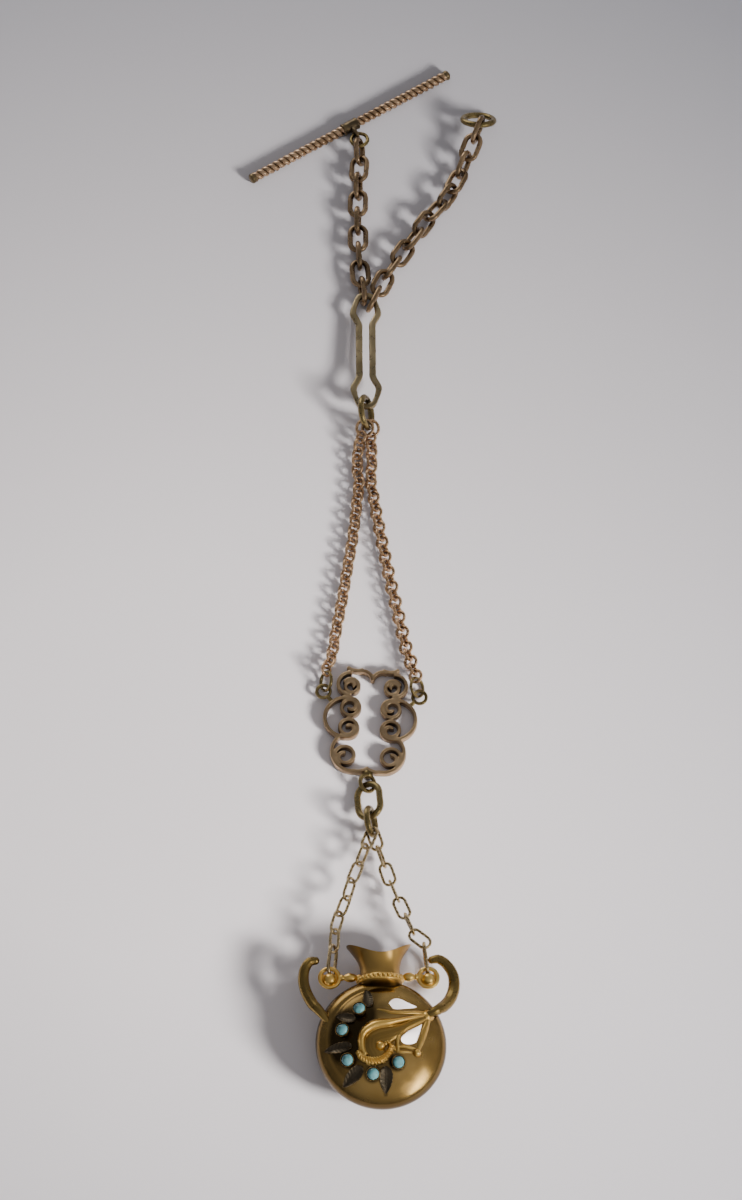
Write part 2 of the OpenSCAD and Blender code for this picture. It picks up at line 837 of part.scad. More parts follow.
module leaf(i) {
    row = leaves[i - 1];
    base = [row[0], row[1]];
    tip = [row[2], row[3]];
    run = tip - base;
    side = [-run[1], run[0]] / norm(run);
    n = 8;
    across = [0, 1, 1, 0.5, 0, -0.5, -1, -1];
    fold = [0, 1, 1, 0.5, 0, 0.5, 1, 1];
    sheet = [0, 0, 1, 1, 1, 1, 1, 0];
    color(leaf_black)
        at_flask()
            polyhedron(
                points = [for (k = [0:n - 1], j = [0:7])
                    let (t = k / (n - 1), w = row[4] * (0.25 + 0.8 * sin(180 * pow(t, 0.8))),
                        p = base + t * run + side * w * across[j],
                        base_z = dome(p[0], p[1]) + 2 * seat_gap)
                    [p[0], p[1], base_z + leaf_rise * fold[j] + leaf_sheet * sheet[j]]],
                faces = tube_faces(n, 8)
            );
}

// Settings and stones

// A collet stands square to the dome on a short foot
module at_setting(i) {
    u = settings[i - 1][0];
    v = settings[i - 1][1];
    r = norm([u, v]);
    at_flask()
        translate([u, v, dome(u, v)])
            rotate([0, 0, atan2(v, u)])
                rotate([0, asin(min(r, cap_end) / cap_r), 0])
                    translate([0, 0, 0.12])
                        children();
}

module collet(i) {
    outer = stone_d / 2 + seat_gap + collet_wall;
    color(dark_gold)
        at_setting(i)
            difference() {
                cylinder(r1 = outer * 0.72, r2 = outer, h = collet_height, $fn = round_fn);
                translate([0, 0, collet_height - 0.45])
                    cylinder(r = stone_d / 2 + seat_gap, h = 1, $fn = round_fn);
            }
}

module stone(i) {
    radius = stone_d / 2;
    color(turquoise)
        at_setting(i)
            translate([0, 0, collet_height - 0.45 + seat_gap])
                intersection() {
                    cylinder(r = radius, h = 2, $fn = round_fn);
                    translate([0, 0, 0.25])
                        sphere(r = radius * 1.04, $fn = round_fn);
                }
}

translate(layout_shift) {
    toggle_bar();
    toggle_ring();
    bar_chain();
    watch_chain();
    watch_ring();
    keyhole_link();
    fork_ring();
    fork_chain_left();
    fork_chain_right();
    plaque_ring_left();
    plaque_ring_right();
    filigree_plaque();
    drop_ring();
    hanger_ring();
    pendant_chain_left();
    pendant_chain_right();
    pendant_ring_left();
    pendant_ring_right();
    flask();
    handle_left();
    handle_right();
    scroll_ornament();
    for (i = [1:5]) {
        leaf(i);
        collet(i);
        stone(i);
    }
}
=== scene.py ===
# %% [markdown]
# # A watch fob with a flask pendant
# The fob lies on pale paper: a T-bar, two cable chains, a long keyhole link, two fine
# chains, an openwork plaque and a small flask set with turquoise. The solid model is
# loaded first. It is the frame: every piece made below stays where its solid lies.

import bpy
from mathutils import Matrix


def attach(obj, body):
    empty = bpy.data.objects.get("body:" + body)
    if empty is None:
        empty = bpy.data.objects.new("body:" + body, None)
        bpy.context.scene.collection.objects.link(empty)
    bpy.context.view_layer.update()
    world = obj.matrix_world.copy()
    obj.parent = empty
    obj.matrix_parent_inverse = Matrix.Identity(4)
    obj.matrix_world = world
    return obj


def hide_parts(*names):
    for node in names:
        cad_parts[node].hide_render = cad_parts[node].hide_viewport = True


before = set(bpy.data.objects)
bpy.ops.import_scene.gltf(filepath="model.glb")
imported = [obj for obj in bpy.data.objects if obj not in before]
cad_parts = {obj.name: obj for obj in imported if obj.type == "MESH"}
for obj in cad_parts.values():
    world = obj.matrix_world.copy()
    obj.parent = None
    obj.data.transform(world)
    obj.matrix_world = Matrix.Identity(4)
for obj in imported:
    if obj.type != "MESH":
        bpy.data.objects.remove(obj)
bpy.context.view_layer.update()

# %% [markdown]
# ## Working in millimetres
# A jeweller thinks in millimetres and Blender in metres, so points are written in
# millimetres from one mark on the paper, and turned into metres when a mesh is made.

# %% Meshes from points and faces
import math

import bpy
import numpy as np

MARK = np.array([-0.27, -5.7, 0.0])


def add_object(name, data):
    obj = bpy.data.objects.new(name, data)
    bpy.context.scene.collection.objects.link(obj)
    return obj


def new_mesh(name, points, faces):
    mesh = bpy.data.meshes.new(name)
    mesh.from_pydata(((points + MARK) / 1000).tolist(), [], faces)
    return mesh


def make_piece(name, parts, finish, nodes, slot, layers=None):
    """Joins parts, each a pair of points and faces, into one smooth piece."""
    faces, start = [], 0
    for part_points, part_faces in parts:
        faces.extend([tuple(int(i) + start for i in face) for face in part_faces])
        start += len(part_points)
    mesh = new_mesh(name, np.vstack([points for points, _ in parts]), faces)
    mesh.validate()
    mesh.polygons.foreach_set("use_smooth", [True] * len(mesh.polygons))
    for layer, values in (layers or {}).items():
        attribute = mesh.attributes.new(layer, "FLOAT", "POINT")
        attribute.data.foreach_set("value", np.asarray(values, np.float32))
    mesh.materials.append(finish)
    obj = add_object(name, mesh)
    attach(obj, "root")
    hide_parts(*nodes)
    print(name, "faces:", len(mesh.polygons))
    return obj


# %% [markdown]
# ## Turning things
# Every part is drawn flat and upright once and then turned into place, so three small
# helpers turn points about the axes, put a part in its place, and aim a link along its
# chain.

# %% Turn, aim and roll
def turn(points, x=0, y=0, z=0):
    """Turns points by degrees about X, then Y, then Z."""
    a, b, c = np.radians([x, y, z])
    about_x = np.array([[1, 0, 0], [0, np.cos(a), -np.sin(a)], [0, np.sin(a), np.cos(a)]])
    about_y = np.array([[np.cos(b), 0, np.sin(b)], [0, 1, 0], [-np.sin(b), 0, np.cos(b)]])
    about_z = np.array([[np.cos(c), -np.sin(c), 0], [np.sin(c), np.cos(c), 0], [0, 0, 1]])
    return np.asarray(points, float) @ (about_z @ about_y @ about_x).T


def placed(part, at=(0, 0, 0), x=0, y=0, z=0):
    """Turns a part, which is a pair of points and faces, and moves it to its place."""
    return turn(part[0], x, y, z) + np.asarray(at), part[1]


def aim(points, at, direction, roll):
    """Lays a flat shape's X axis along a direction and rolls it about that axis."""
    flat = math.hypot(direction[0], direction[1])
    heading = math.degrees(math.atan2(direction[1], direction[0]))
    climb = -math.degrees(math.atan2(direction[2], flat))
    return turn(turn(turn(points, x=roll), y=climb), z=heading) + np.asarray(at)


# %% [markdown]
# ## Drawing wire
# Nearly everything here is wire: a path with a section carried along it. The same
# sweep makes round wire, the plaque's flat ribbon and the handles' tapering tubes.

# %% Sweep a section along a path
def net_faces(rows, columns, loop_rows=False, loop_columns=True, flip=False):
    """The squares of a net of points. Its rows and its columns can close on themselves."""
    faces = [(i * columns + j, i * columns + (j + 1) % columns,
              (i + 1) % rows * columns + (j + 1) % columns, (i + 1) % rows * columns + j)
             for i in range(rows - (not loop_rows)) for j in range(columns - (not loop_columns))]
    return [face[:1] + face[:0:-1] for face in faces] if flip else faces


def full_turn(steps):
    return np.linspace(0, 2 * np.pi, steps, endpoint=False)


def circle_section(sides=14):
    a = full_turn(sides)
    return np.c_[np.cos(a), np.sin(a)]


def block_section(sides, half_width, half_depth, powers):
    """A rectangle with soft corners, which small powers make sharper."""
    sizes = np.sign(circle_section(sides)) * [half_width, half_depth]
    return sizes * np.abs(circle_section(sides)) ** np.array(powers)


def sweep(path, section, size=1.0, closed=False):
    """Carries a section along a path. size is one number or one for each point."""
    path = np.asarray(path, float)
    n = len(path)
    if closed:
        along = np.roll(path, -1, 0) - np.roll(path, 1, 0)
    else:
        along = np.gradient(path, axis=0)
    along /= np.linalg.norm(along, axis=1)[:, None]
    side = np.cross(np.broadcast_to([0.0, 0.0, 1.0], along.shape), along)
    side /= np.linalg.norm(side, axis=1)[:, None]
    top = np.cross(along, side)
    size = np.broadcast_to(np.asarray(size, float).reshape(-1, 1, 1), (n, 1, 1))
    section = np.broadcast_to(np.asarray(section, float), (n,) + np.shape(section)[-2:])
    ring = section * size
    points = path[:, None] + ring[:, :, :1] * side[:, None] + ring[:, :, 1:] * top[:, None]
    m = ring.shape[1]
    faces = net_faces(n, m, loop_rows=closed)
    if not closed:
        faces.append(tuple(range(m - 1, -1, -1)))
        faces.append(tuple(range((n - 1) * m, n * m)))
    return points.reshape(-1, 3), faces


def ring_of_wire(radius, wire, steps=72, sides=14):
    """A jump ring in the XY plane, worn a hair thinner at three places."""
    a = full_turn(steps)
    path = np.c_[radius * np.cos(a), radius * np.sin(a), 0 * a]
    thin = 1 - 0.03 * (np.cos(3 * a + wire) > 0.9)
    return sweep(path, circle_section(sides), wire / 2 * thin, closed=True)


def lathe(profile, steps=48):
    """Turns a profile of radius and height about Z."""
    profile = np.maximum(np.asarray(profile, float), [[1e-4, -1e9]])
    a = full_turn(steps)
    points = np.stack([profile[:, None, 0] * np.cos(a), profile[:, None, 0] * np.sin(a),
                       np.broadcast_to(profile[:, None, 1], (len(profile), steps))], -1)
    return points.reshape(-1, 3), net_faces(len(profile), steps)


def ball(centre, radius, steps=28):
    a = np.linspace(-np.pi / 2, np.pi / 2, steps // 2 + 1)
    return placed(lathe(np.c_[radius * np.cos(a), radius * np.sin(a)], steps), centre)


def smooth(rows, steps):
    """A flowing curve through a table's rows."""
    p = np.asarray(rows, float)
    p = np.vstack([p[:1], p, p[-1:]])
    out = []
    for i in range(1, len(p) - 2):
        a, b, c, d = p[i - 1:i + 3]
        for t in np.arange(steps) / steps:
            out.append(0.5 * (2 * b + (c - a) * t + (2 * a - 5 * b + 4 * c - d) * t ** 2
                              + (3 * b - a - 3 * c + d) * t ** 3))
    return np.array(out + [p[-2]])


# %% [markdown]
# ## Old gold
# Gold-filled brass that has been worn for a century is never one colour. It is brown
# where dirt stays, reddish where it is thin, and bright where cloth has rubbed it.
# One recipe mixes those, and each finish below only changes its colours and wear. Crannies, and
# metal that lies near the paper, are painted darker by how closed in a point is: dirt and painted
# shade in one.

# %% A recipe for aged gold
def fill(made, key, value):
    """Sets an input of a node, or links it when the value is another node's output."""
    if isinstance(value, bpy.types.NodeSocket):
        made.id_data.links.new(value, made.inputs[key])
    else:
        made.inputs[key].default_value = value


def node(tree, kind, **values):
    made = tree.nodes.new(kind)
    for key, value in values.items():
        if key in made.inputs:
            fill(made, key, value)
        else:
            setattr(made, key, value)
    return made


def ramp(tree, source, low, high, first=(0, 0, 0, 1), last=(1, 1, 1, 1)):
    made = node(tree, "ShaderNodeValToRGB", Fac=source)
    for end, position, colour in zip(made.color_ramp.elements, (low, high), (first, last)):
        end.position, end.color = position, colour
    return made.outputs[0]


def mix(tree, amount, first, second, blend="MIX"):
    made = node(tree, "ShaderNodeMix", data_type="RGBA", blend_type=blend)
    for socket, value in ((0, amount), (6, first), (7, second)):
        fill(made, socket, value)
    return made.outputs[2]


def work_out(tree, kind, operation, *values):
    """Works out a number with a Math or a VectorMath node, its inputs in their order."""
    made = node(tree, "ShaderNode" + kind, operation=operation)
    for socket, value in enumerate(values):
        fill(made, socket, value)
    return made.outputs["Value"]


def here(tree):
    """Where a point lies on its piece, in metres."""
    return node(tree, "ShaderNodeTexCoord").outputs["Object"]


def noise(tree, scale, detail):
    return node(tree, "ShaderNodeTexNoise", Scale=scale, Detail=detail,
                Vector=here(tree)).outputs[0]


def roughen(tree, shader, height, strength, depth):
    """Lets a texture stand out as a faint relief. depth is in metres."""
    dent = node(tree, "ShaderNodeBump", Strength=strength, Distance=depth, Height=height)
    fill(shader, "Normal", dent.outputs[0])


def new_material(name):
    made = bpy.data.materials.new(name)
    made.use_nodes = True
    return made, made.node_tree, made.node_tree.nodes["Principled BSDF"]


def aged_gold(name, colour, rubbed, grime_and_shade, roughness, patch, cranny, dirt_and_shade_from, bump,
              tarnish=None):
    """Colours are linear. roughness runs from shiny to dull, patch is how many clouds lie on a
    metre, and cranny is how near other metal or the paper darkens a point, in metres. The colour
    after rubbed is dirt and painted shade in one. It is mixed in by how closed in a point is,
    between the bounds given after cranny."""
    finish, tree, gold = new_material(name)
    fill(gold, "Metallic", 1.0)
    cloud, fine = noise(tree, patch, 2.5), noise(tree, patch * 4, 2.0)
    skin = mix(tree, ramp(tree, cloud, 0.38, 0.68), (*colour, 1), (*rubbed, 1))
    # Dirt and painted shade: the more closed in a point is, by metal or by the paper, the nearer
    # it comes to the crevice colour
    cover = node(tree, "ShaderNodeAmbientOcclusion", samples=16, Distance=cranny)
    open_air = ramp(tree, cover.outputs["AO"], *dirt_and_shade_from)
    skin = mix(tree, open_air, (*grime_and_shade, 1), skin)
    # A painted top layer: tarnish and dark marks on the body, painted shade on the neck, dirt in
    # the scroll's hollows and rubbed gold on the leaves' edges
    if tarnish:
        layer = node(tree, "ShaderNodeAttribute", attribute_name="tarnish").outputs["Fac"]
        # The clouds break up the painted edge a little, both ways
        spread = work_out(tree, "Math", "MULTIPLY_ADD", cloud, 0.24, -0.12)
        broken = work_out(tree, "Math", "ADD", layer, spread)
        skin = mix(tree, ramp(tree, broken, 0.06, 0.9), skin, (*tarnish, 1))
    fill(gold, "Base Color", skin)
    rough = node(tree, "ShaderNodeMapRange", Value=ramp(tree, fine, 0.35, 0.7))
    fill(rough, "To Min", roughness[0])
    fill(rough, "To Max", roughness[1])
    fill(gold, "Roughness", rough.outputs[0])
    roughen(tree, gold, fine, bump, 0.00012)
    return finish


# %% The finishes of the fob
# A dark colour for the body's dark marks and for the neck's painted shade
soot_and_shade = (0.05, 0.033, 0.014)
# Columns: name, colour, rubbed, crevice colour for dirt and painted shade, roughness, patch,
# cranny, closedness where that colour begins and ends, bump, top layer colour
gold_rows = [
    ("flask_aged_gold", (0.36, 0.22, 0.064), (0.55, 0.36, 0.125), (0.15, 0.082, 0.027),
     (0.2, 0.28), 170, 0.0009, (0.15, 0.75), 0.05, soot_and_shade),
    ("neck_brown_gold", (0.42, 0.25, 0.07), (0.54, 0.335, 0.1), (0.1, 0.05, 0.014),
     (0.3, 0.36), 170, 0.0011, (0.2, 0.85), 0.04, soot_and_shade),
    ("scroll_rubbed_gold", (0.92, 0.58, 0.155), (1.0, 0.7, 0.22), (0.2, 0.105, 0.028),
     (0.28, 0.34), 120, 0.0004, (0.0, 0.4), 0.02, (0.13, 0.073, 0.023)),
    ("handle_olive_gold", (0.21, 0.142, 0.045), (0.29, 0.195, 0.062), (0.06, 0.036, 0.013),
     (0.26, 0.34), 280, 0.0009, (0.05, 0.8), 0.02),
    ("chain_rose_gold", (0.22, 0.15, 0.085), (0.43, 0.295, 0.175), (0.04, 0.027, 0.016),
     (0.24, 0.36), 300, 0.001, (0.15, 0.8), 0.03),
    ("fine_chain_gold", (0.5, 0.32, 0.175), (0.8, 0.53, 0.31), (0.07, 0.044, 0.026),
     (0.2, 0.36), 700, 0.0007, (0.25, 0.8), 0.06),
    ("ring_olive_gold", (0.2, 0.15, 0.063), (0.31, 0.235, 0.103), (0.03, 0.022, 0.01),
     (0.24, 0.34), 300, 0.001, (0.1, 0.8), 0.02),
    ("keyhole_dull_gold", (0.277, 0.218, 0.122), (0.494, 0.389, 0.223), (0.06, 0.045, 0.025),
     (0.26, 0.42), 300, 0.0007, (0.25, 0.8), 0.06),
    ("toggle_worn_gold", (0.46, 0.3, 0.175), (0.74, 0.51, 0.32), (0.04, 0.027, 0.016),
     (0.24, 0.38), 300, 0.0007, (0.4, 0.9), 0.06),
    ("toggle_dark_knobs", (0.12, 0.09, 0.055), (0.26, 0.19, 0.1), (0.02, 0.015, 0.01),
     (0.28, 0.45), 500, 0.0007, (0.25, 0.8), 0.12),
    ("plaque_matt_gold", (0.378, 0.262, 0.15), (0.602, 0.428, 0.249), (0.12, 0.08, 0.048),
     (0.36, 0.5), 330, 0.0009, (0.15, 0.8), 0.12),
    ("pendant_chain_gold", (0.44, 0.335, 0.175), (0.6, 0.46, 0.25), (0.055, 0.04, 0.02),
     (0.2, 0.36), 600, 0.0008, (0.25, 0.8), 0.06),
    ("collet_gold", (0.34, 0.215, 0.075), (0.55, 0.37, 0.14), (0.035, 0.022, 0.01),
     (0.22, 0.38), 500, 0.0008, (0.3, 0.9), 0.06),
    ("leaf_blackened", (0.078, 0.062, 0.041), (0.125, 0.1, 0.068), (0.03, 0.022, 0.015),
     (0.34, 0.5), 600, 0.0005, (0.2, 0.8), 0.3, (0.45, 0.31, 0.15))]
(flask_finish, neck_finish, scroll_finish, handle_finish, chain_finish, fine_finish,
 ring_finish, keyhole_finish, bar_finish, knob_finish, plaque_finish, drop_finish,
 collet_finish, leaf_finish) = [aged_gold(*row) for row in gold_rows]

# %% [markdown]
# ## Turquoise
# Old turquoise is a waxy stone: soft blue-green, a little cloudy and greener in spots.
# Light goes a short way in, so a touch of scattering keeps it from looking painted.

# %% The turquoise
turquoise_finish, tree, wax = new_material("turquoise_waxy")
cloud, spot = noise(tree, 900, 4), noise(tree, 2600, 2)
base = mix(tree, ramp(tree, cloud, 0.35, 0.65), (0.055, 0.155, 0.172, 1),
           (0.09, 0.215, 0.225, 1))
base = mix(tree, ramp(tree, spot, 0.6, 0.75), base, (0.042, 0.108, 0.095, 1))
for key, value in (("Base Color", base), ("Subsurface Radius", base), ("Roughness", 0.2),
                   ("Subsurface Weight", 0.15), ("Subsurface Scale", 0.0003)):
    fill(wax, key, value)
roughen(tree, wax, spot, 0.05, 0.0001)

# %% [markdown]
# ## The T-bar
# The bar is two round wires twisted together, which gives the row of slanting beads
# that catches the light. A twist is a pair of helices half a turn apart. A plain
# collar with an eye holds the middle, and a knob closes each end.

# %% Twisted bar, collar, eye and knobs
bar_at = np.array([-3.2, 77.8, 0.95])
bar_heading = 31.3
bar_half = 17.1
twist_pitch = 1.9
strand, strand_off = 0.415, 0.355


def strand_part(side, phase):
    x = np.linspace(1.1, bar_half - 0.1, 260)
    a = phase + 2 * np.pi * x / twist_pitch
    path = np.c_[side * x, strand_off * np.cos(a), strand_off * np.sin(a) * side]
    return sweep(path, circle_section(12), strand)


def on_bar(part):
    return placed(part, bar_at, z=bar_heading)


# Profiles for the lathe have the columns radius and height
half = [(0.5, -1.3), (0.88, -1.3), (0.95, -1.2), (0.95, -1.05), (0.88, -0.98), (0.9, -0.5)]
collar = half + [(0.92, 0)] + [(radius, -height) for radius, height in half[::-1]]
collar_part = placed(lathe(collar, 40), y=90)
eye_part = placed(ring_of_wire(0.85, 0.55, 48, 12), (0, -1.55, 0.18), y=90)
twist_parts = [strand_part(side, phase) for side in (-1, 1) for phase in (0, np.pi)]
make_piece("twisted_bar", [on_bar(p) for p in twist_parts], bar_finish, ["toggle_bar"],
           "toggle_gold")
knob = [(0.5, -0.45), (0.6, -0.4), (0.66, -0.32), (0.6, -0.22), (0.7, -0.1), (0.79, 0.12),
        (0.8, 0.3), (0.73, 0.5), (0.53, 0.64), (0.25, 0.7), (0, 0.7)]
knobs = [placed(lathe(knob, 32), (side * bar_half, 0, 0), y=90 * side) for side in (-1, 1)]
make_piece("bar_knobs", [on_bar(p) for p in knobs + [collar_part, eye_part]], knob_finish,
           ["toggle_bar"], "toggle_gold")

# %% [markdown]
# ## Links and chains
# A cable link is a stadium of wire. Each link is turned a quarter against the one
# before, and the wire is a little thinner where its neighbour has rubbed it. The
# chains follow short tables of points, the same ones that their solids follow.

# %% Links laid along a route
def link_of_wire(length, width, wire, sides=12):
    """An oval link in the XY plane, rubbed thinner at its ends."""
    rub = 0.06
    radius = (width - wire) / 2
    half = (length - width) / 2
    a = np.linspace(-np.pi / 2, np.pi / 2, 19)
    end = np.c_[half + radius * np.cos(a), radius * np.sin(a), 0 * a]
    straight = np.linspace(half, -half, 7)[1:-1]
    if half <= 0.01:
        straight = straight[:0]
        end = end[:-1]
    side = np.c_[straight, np.full(len(straight), radius), 0 * straight]
    path = np.vstack([end, side, end * [-1, -1, 1], side * [-1, -1, 1]])
    reach = np.abs(path[:, 0]) / (half + radius)
    thin = 1 - rub * np.clip((reach - 0.8) / 0.2, 0, 1)
    return sweep(path, circle_section(sides), wire / 2 * thin, closed=True)


def route_point(route, s):
    steps = np.linalg.norm(np.diff(route, axis=0), axis=1)
    for i, step in enumerate(steps):
        if s <= step or i == len(steps) - 1:
            return route[i] + (route[i + 1] - route[i]) * s / step
        s -= step


def lay_chain(route, count, ends, rolls, link):
    route = np.asarray(route, float)
    run = np.linalg.norm(np.diff(route, axis=0), axis=1).sum() - sum(ends)
    pitch = run / (count - 1)
    parts = []
    for i in range(count):
        s = ends[0] + i * pitch
        ahead = route_point(route, s + pitch / 2) - route_point(route, s - pitch / 2)
        roll = rolls[0] + (rolls[1] - rolls[0]) * i / (count - 1) + 90 * (i % 2)
        parts.append((aim(link[0], route_point(route, s), ahead, roll), link[1]))
    return parts


# %% The two cable chains
bar_route = [(-1.14, 48.38, 1.6), (-1.6, 52, 1.6), (-1.95, 57, 1.6), (-2, 62, 1.6),
             (-1.95, 68, 1.6), (-1.7, 71.5, 1.6), (-1.79, 74.2, 1.73)]
watch_route = [(0.08, 47.1, 1.6), (2.3, 51.9, 1.6), (5.3, 56.5, 1.6), (8.5, 61.4, 1.6),
               (11.7, 65.4, 1.6), (13.6, 69.3, 1.6), (16.25, 75.87, 3.34)]
cable_link = link_of_wire(4.8, 3.15, 0.8)
make_piece("bar_cable_chain", lay_chain(bar_route, 9, (0.92, 1.205), (99, 66), cable_link),
           chain_finish, ["bar_chain"], "cable_gold")
make_piece("watch_cable_chain", lay_chain(watch_route, 12, (0.92, 0), (100, 177), cable_link),
           chain_finish, ["watch_chain"], "cable_gold")

# %% The two fine chains, each with a larger first link
left_route = [(-1.45, 25.05, 1.9), (-1.95, 22.8, 1.2), (-2.05, 20.8, 0.9), (-1.75, 18, 0.9),
              (-2.2, 13.5, 0.9), (-2.7, 9, 0.91), (-3.5, 4, 0.92), (-4.1, 0, 0.93),
              (-5, -5, 0.94), (-5.6, -9, 0.96), (-6.4, -11.44, 1.7)]
right_route = [(0, 25.3, 1.02), (0.15, 22, 0.9), (-0.05, 18.5, 0.9), (0.75, 13.5, 0.92),
               (1.75, 8, 0.945), (2.8, 2.5, 0.965), (4, -3, 0.99), (5, -7.8, 1.02),
               (6.38, -12.39, 1.52)]
fine_link = link_of_wire(2.25, 2.25, 0.45, 10)
for name, route, count, rolls, first_at, first_turn in (
        ("left", left_route, 32, (45, 37), (-0.9, 26.31, 2.44), (22.6, 15.8)),
        ("right", right_route, 33, (45, 27), (-0.07, 26.7, 1.43), (23.4, 24.9))):
    first = placed(ring_of_wire(1.2, 0.45, 36, 10), first_at, first_turn[0], 0, first_turn[1])
    make_piece("fine_chain_" + name, [first] + lay_chain(route, count, (0, 0), rolls, fine_link),
               fine_finish, ["fork_chain_" + name], "fine_chain_gold")

# %% The pendant's two chains and their long end links
drop_link = link_of_wire(3.7, 2.1, 0.42, 10)
end_link = link_of_wire(4.95, 2.6, 0.5, 12)
left_drop = [(-0.22, -37.1, 2.82), (-2.6, -43.2, 2.9), (-3.5, -46.2, 3.3), (-5, -50.6, 4.1),
             (-5.07, -52.4, 4.04)]
right_drop = [(0.56, -37, 1.97), (2.65, -43.2, 2.1), (4, -46.6, 2.5), (6.1, -51.5, 3.3),
              (6.75, -51.9, 3.3)]
for name, route, rolls, end_at, end_turn in (
        ("left", left_drop, (24, 47), (-5.34, -55.34, 4.46), (66, 11, 84)),
        ("right", right_drop, (23, -4), (7.55, -54.81, 3.28), (90, -2.5, 97))):
    make_piece("drop_chain_" + name, lay_chain(route, 7, (0, 0), rolls, drop_link),
               drop_finish, ["pendant_chain_" + name], "pendant_chain_gold")
    make_piece("end_link_" + name, [placed(end_link, end_at, *end_turn)], drop_finish,
               ["pendant_ring_" + name], "pendant_chain_gold")

# %% [markdown]
# ## Rings
# The rings between the chains are plain jump rings of darker wire. Each has its own
# lean, because it rests on the paper and on the links that it holds.

# %% Jump rings and the oval drop ring
for name, radius, wire, at, turns in (
        ("toggle_ring", 1.25, 0.55, (-1.76, 75.25, 1.38), (-12, 0, 6)),
        ("watch_ring", 2.325, 0.95, (16.4, 78.3, 2.06), (-42, 0, -3)),
        ("fork_ring", 2.225, 0.95, (-0.7, 28.75, 2.66), (0, 70, 0)),
        ("plaque_ring_left", 1.375, 0.45, (-6.43, -13.09, 1.4), (0, -57, 5)),
        ("plaque_ring_right", 1.375, 0.45, (6.59, -14, 1.3), (0, 51, -3)),
        ("hanger_ring", 1.9, 0.9, (0, -34.56, 2.44), (0, 72.5, 5))):
    make_piece(name.replace("ring", "jump_ring"),
               [placed(ring_of_wire(radius, wire), at, *turns)], ring_finish, [name],
               "ring_gold")
oval = link_of_wire(6.2, 4.4, 0.95, 14)
top, low = np.array([-0.53, -28.75, 1.21]), np.array([-0.08, -33.71, 2.16])
make_piece("oval_drop_ring", [(aim(oval[0], (top + low) / 2, low - top, 26), oval[1])],
           ring_finish, ["drop_ring"], "ring_gold")

# %% [markdown]
# ## The keyhole link
# The long link is stamped from flat metal, with an eye at both ends. Its outline and
# its slot are two loops of points. A rounded section is stretched between them, which
# softens the stamped edges as wear does.

# %% Outline, slot and soft edges
# Columns: place along the link, half width of the outline, half width of the slot
keyhole_rows = [(0, 1.5, 0.48), (3.4, 1.5, 0.48), (4.4, 1.53, 0.5), (5.3, 1.95, 0.88),
                (6.1, 2.33, 1.3), (6.7, 2.3, 1.38), (7.6, 2.02, 1.22), (8.2, 1.82, 1.0)]


def keyhole_loop(column, corner):
    quarter = np.array([(row[0], row[column]) for row in keyhole_rows] + corner)
    quarter = smooth(quarter, 5)
    back = quarter[-2:0:-1] if abs(quarter[-1][1]) < 1e-6 else quarter[::-1]
    half = np.vstack([quarter, back * [1, -1]])
    return np.vstack([half, -half])


outer = keyhole_loop(1, [(8.9, 1.55), (9.45, 1.2), (9.72, 0.6), (9.75, 0)])
inner = keyhole_loop(2, [(8.6, 0.8), (8.85, 0.5), (8.9, 0.25), (8.9, 0)])
soft = block_section(16, 1, 0.4, (0.45, 0.45))
band = []
for o, i in zip(outer, inner):
    middle, half_band = (o + i) / 2, (o - i) / 2
    band.append(np.c_[middle + soft[:, :1] * half_band, soft[:, 1]])
band = np.array(band)
band_faces = net_faces(*band.shape[:2], loop_rows=True)
key_top, key_low = np.array([-0.85, 48.85, 1.6]), np.array([-0.68, 29.33, 2.55])
points = aim(band.reshape(-1, 3), (key_top + key_low) / 2, key_low - key_top, 0)
make_piece("long_keyhole_link", [(points, band_faces)], keyhole_finish, ["keyhole_link"],
           "keyhole_gold")

# %% [markdown]
# ## The openwork plaque
# The plaque is bent ribbon standing on its edge, soldered where scrolls touch. Each
# scroll is an arc that tightens towards its curled end. The right half is drawn and
# mirrored. The parts are fused by a remesh, which rounds the corners like old solder.

# %% Ribbon scrolls
ribbon_width, ribbon_depth = 0.56, 1.5
plaque_at, plaque_turn = np.array([-0.15, -19.2, 0]), -3.5
# Columns: centre x, centre y, radius, start angle, sweep, share that the end tightens
scrolls = [
    (3.5, 0.5, 2.98, -112, 227, 0), (2.92, 2.1, 1.3, 100, 590, 0.82),
    (3.0, -1.13, 1.3, -97, -590, 0.82), (3.15, 5.6, 1.72, -95, 190, 0),
    (3.0, 5.3, 1.08, 20, 560, 0.8), (3.3, -5.35, 1.42, -60, 520, 0.72),
    (2.2, -4.6, 2.95, -100, 147, 0), (1.5, -4.9, 2.65, -128, 45, 0),
    (1.45, 6.2, 1.45, 70, 110, 0), (2.4, 9.75, 2.1, -118, 66, 0)]


def ribbon_part(row, side):
    cx, cy, radius, start, swing, tighten = row
    t = np.linspace(0, 1, max(12, int(abs(swing) / 6)))
    angle = np.radians(start + swing * t)
    r = radius * (1 - tighten * np.clip((t - 0.38) / 0.62, 0, 1) ** 1.15)
    x, y = cx + r * np.cos(angle), cy + r * np.sin(angle)
    path = np.c_[x * side, y, np.full(len(t), ribbon_depth / 2)]
    path = turn(path, z=plaque_turn) + plaque_at
    return sweep(path, block_section(20, ribbon_width / 2, ribbon_depth / 2, (0.5, 0.4)))


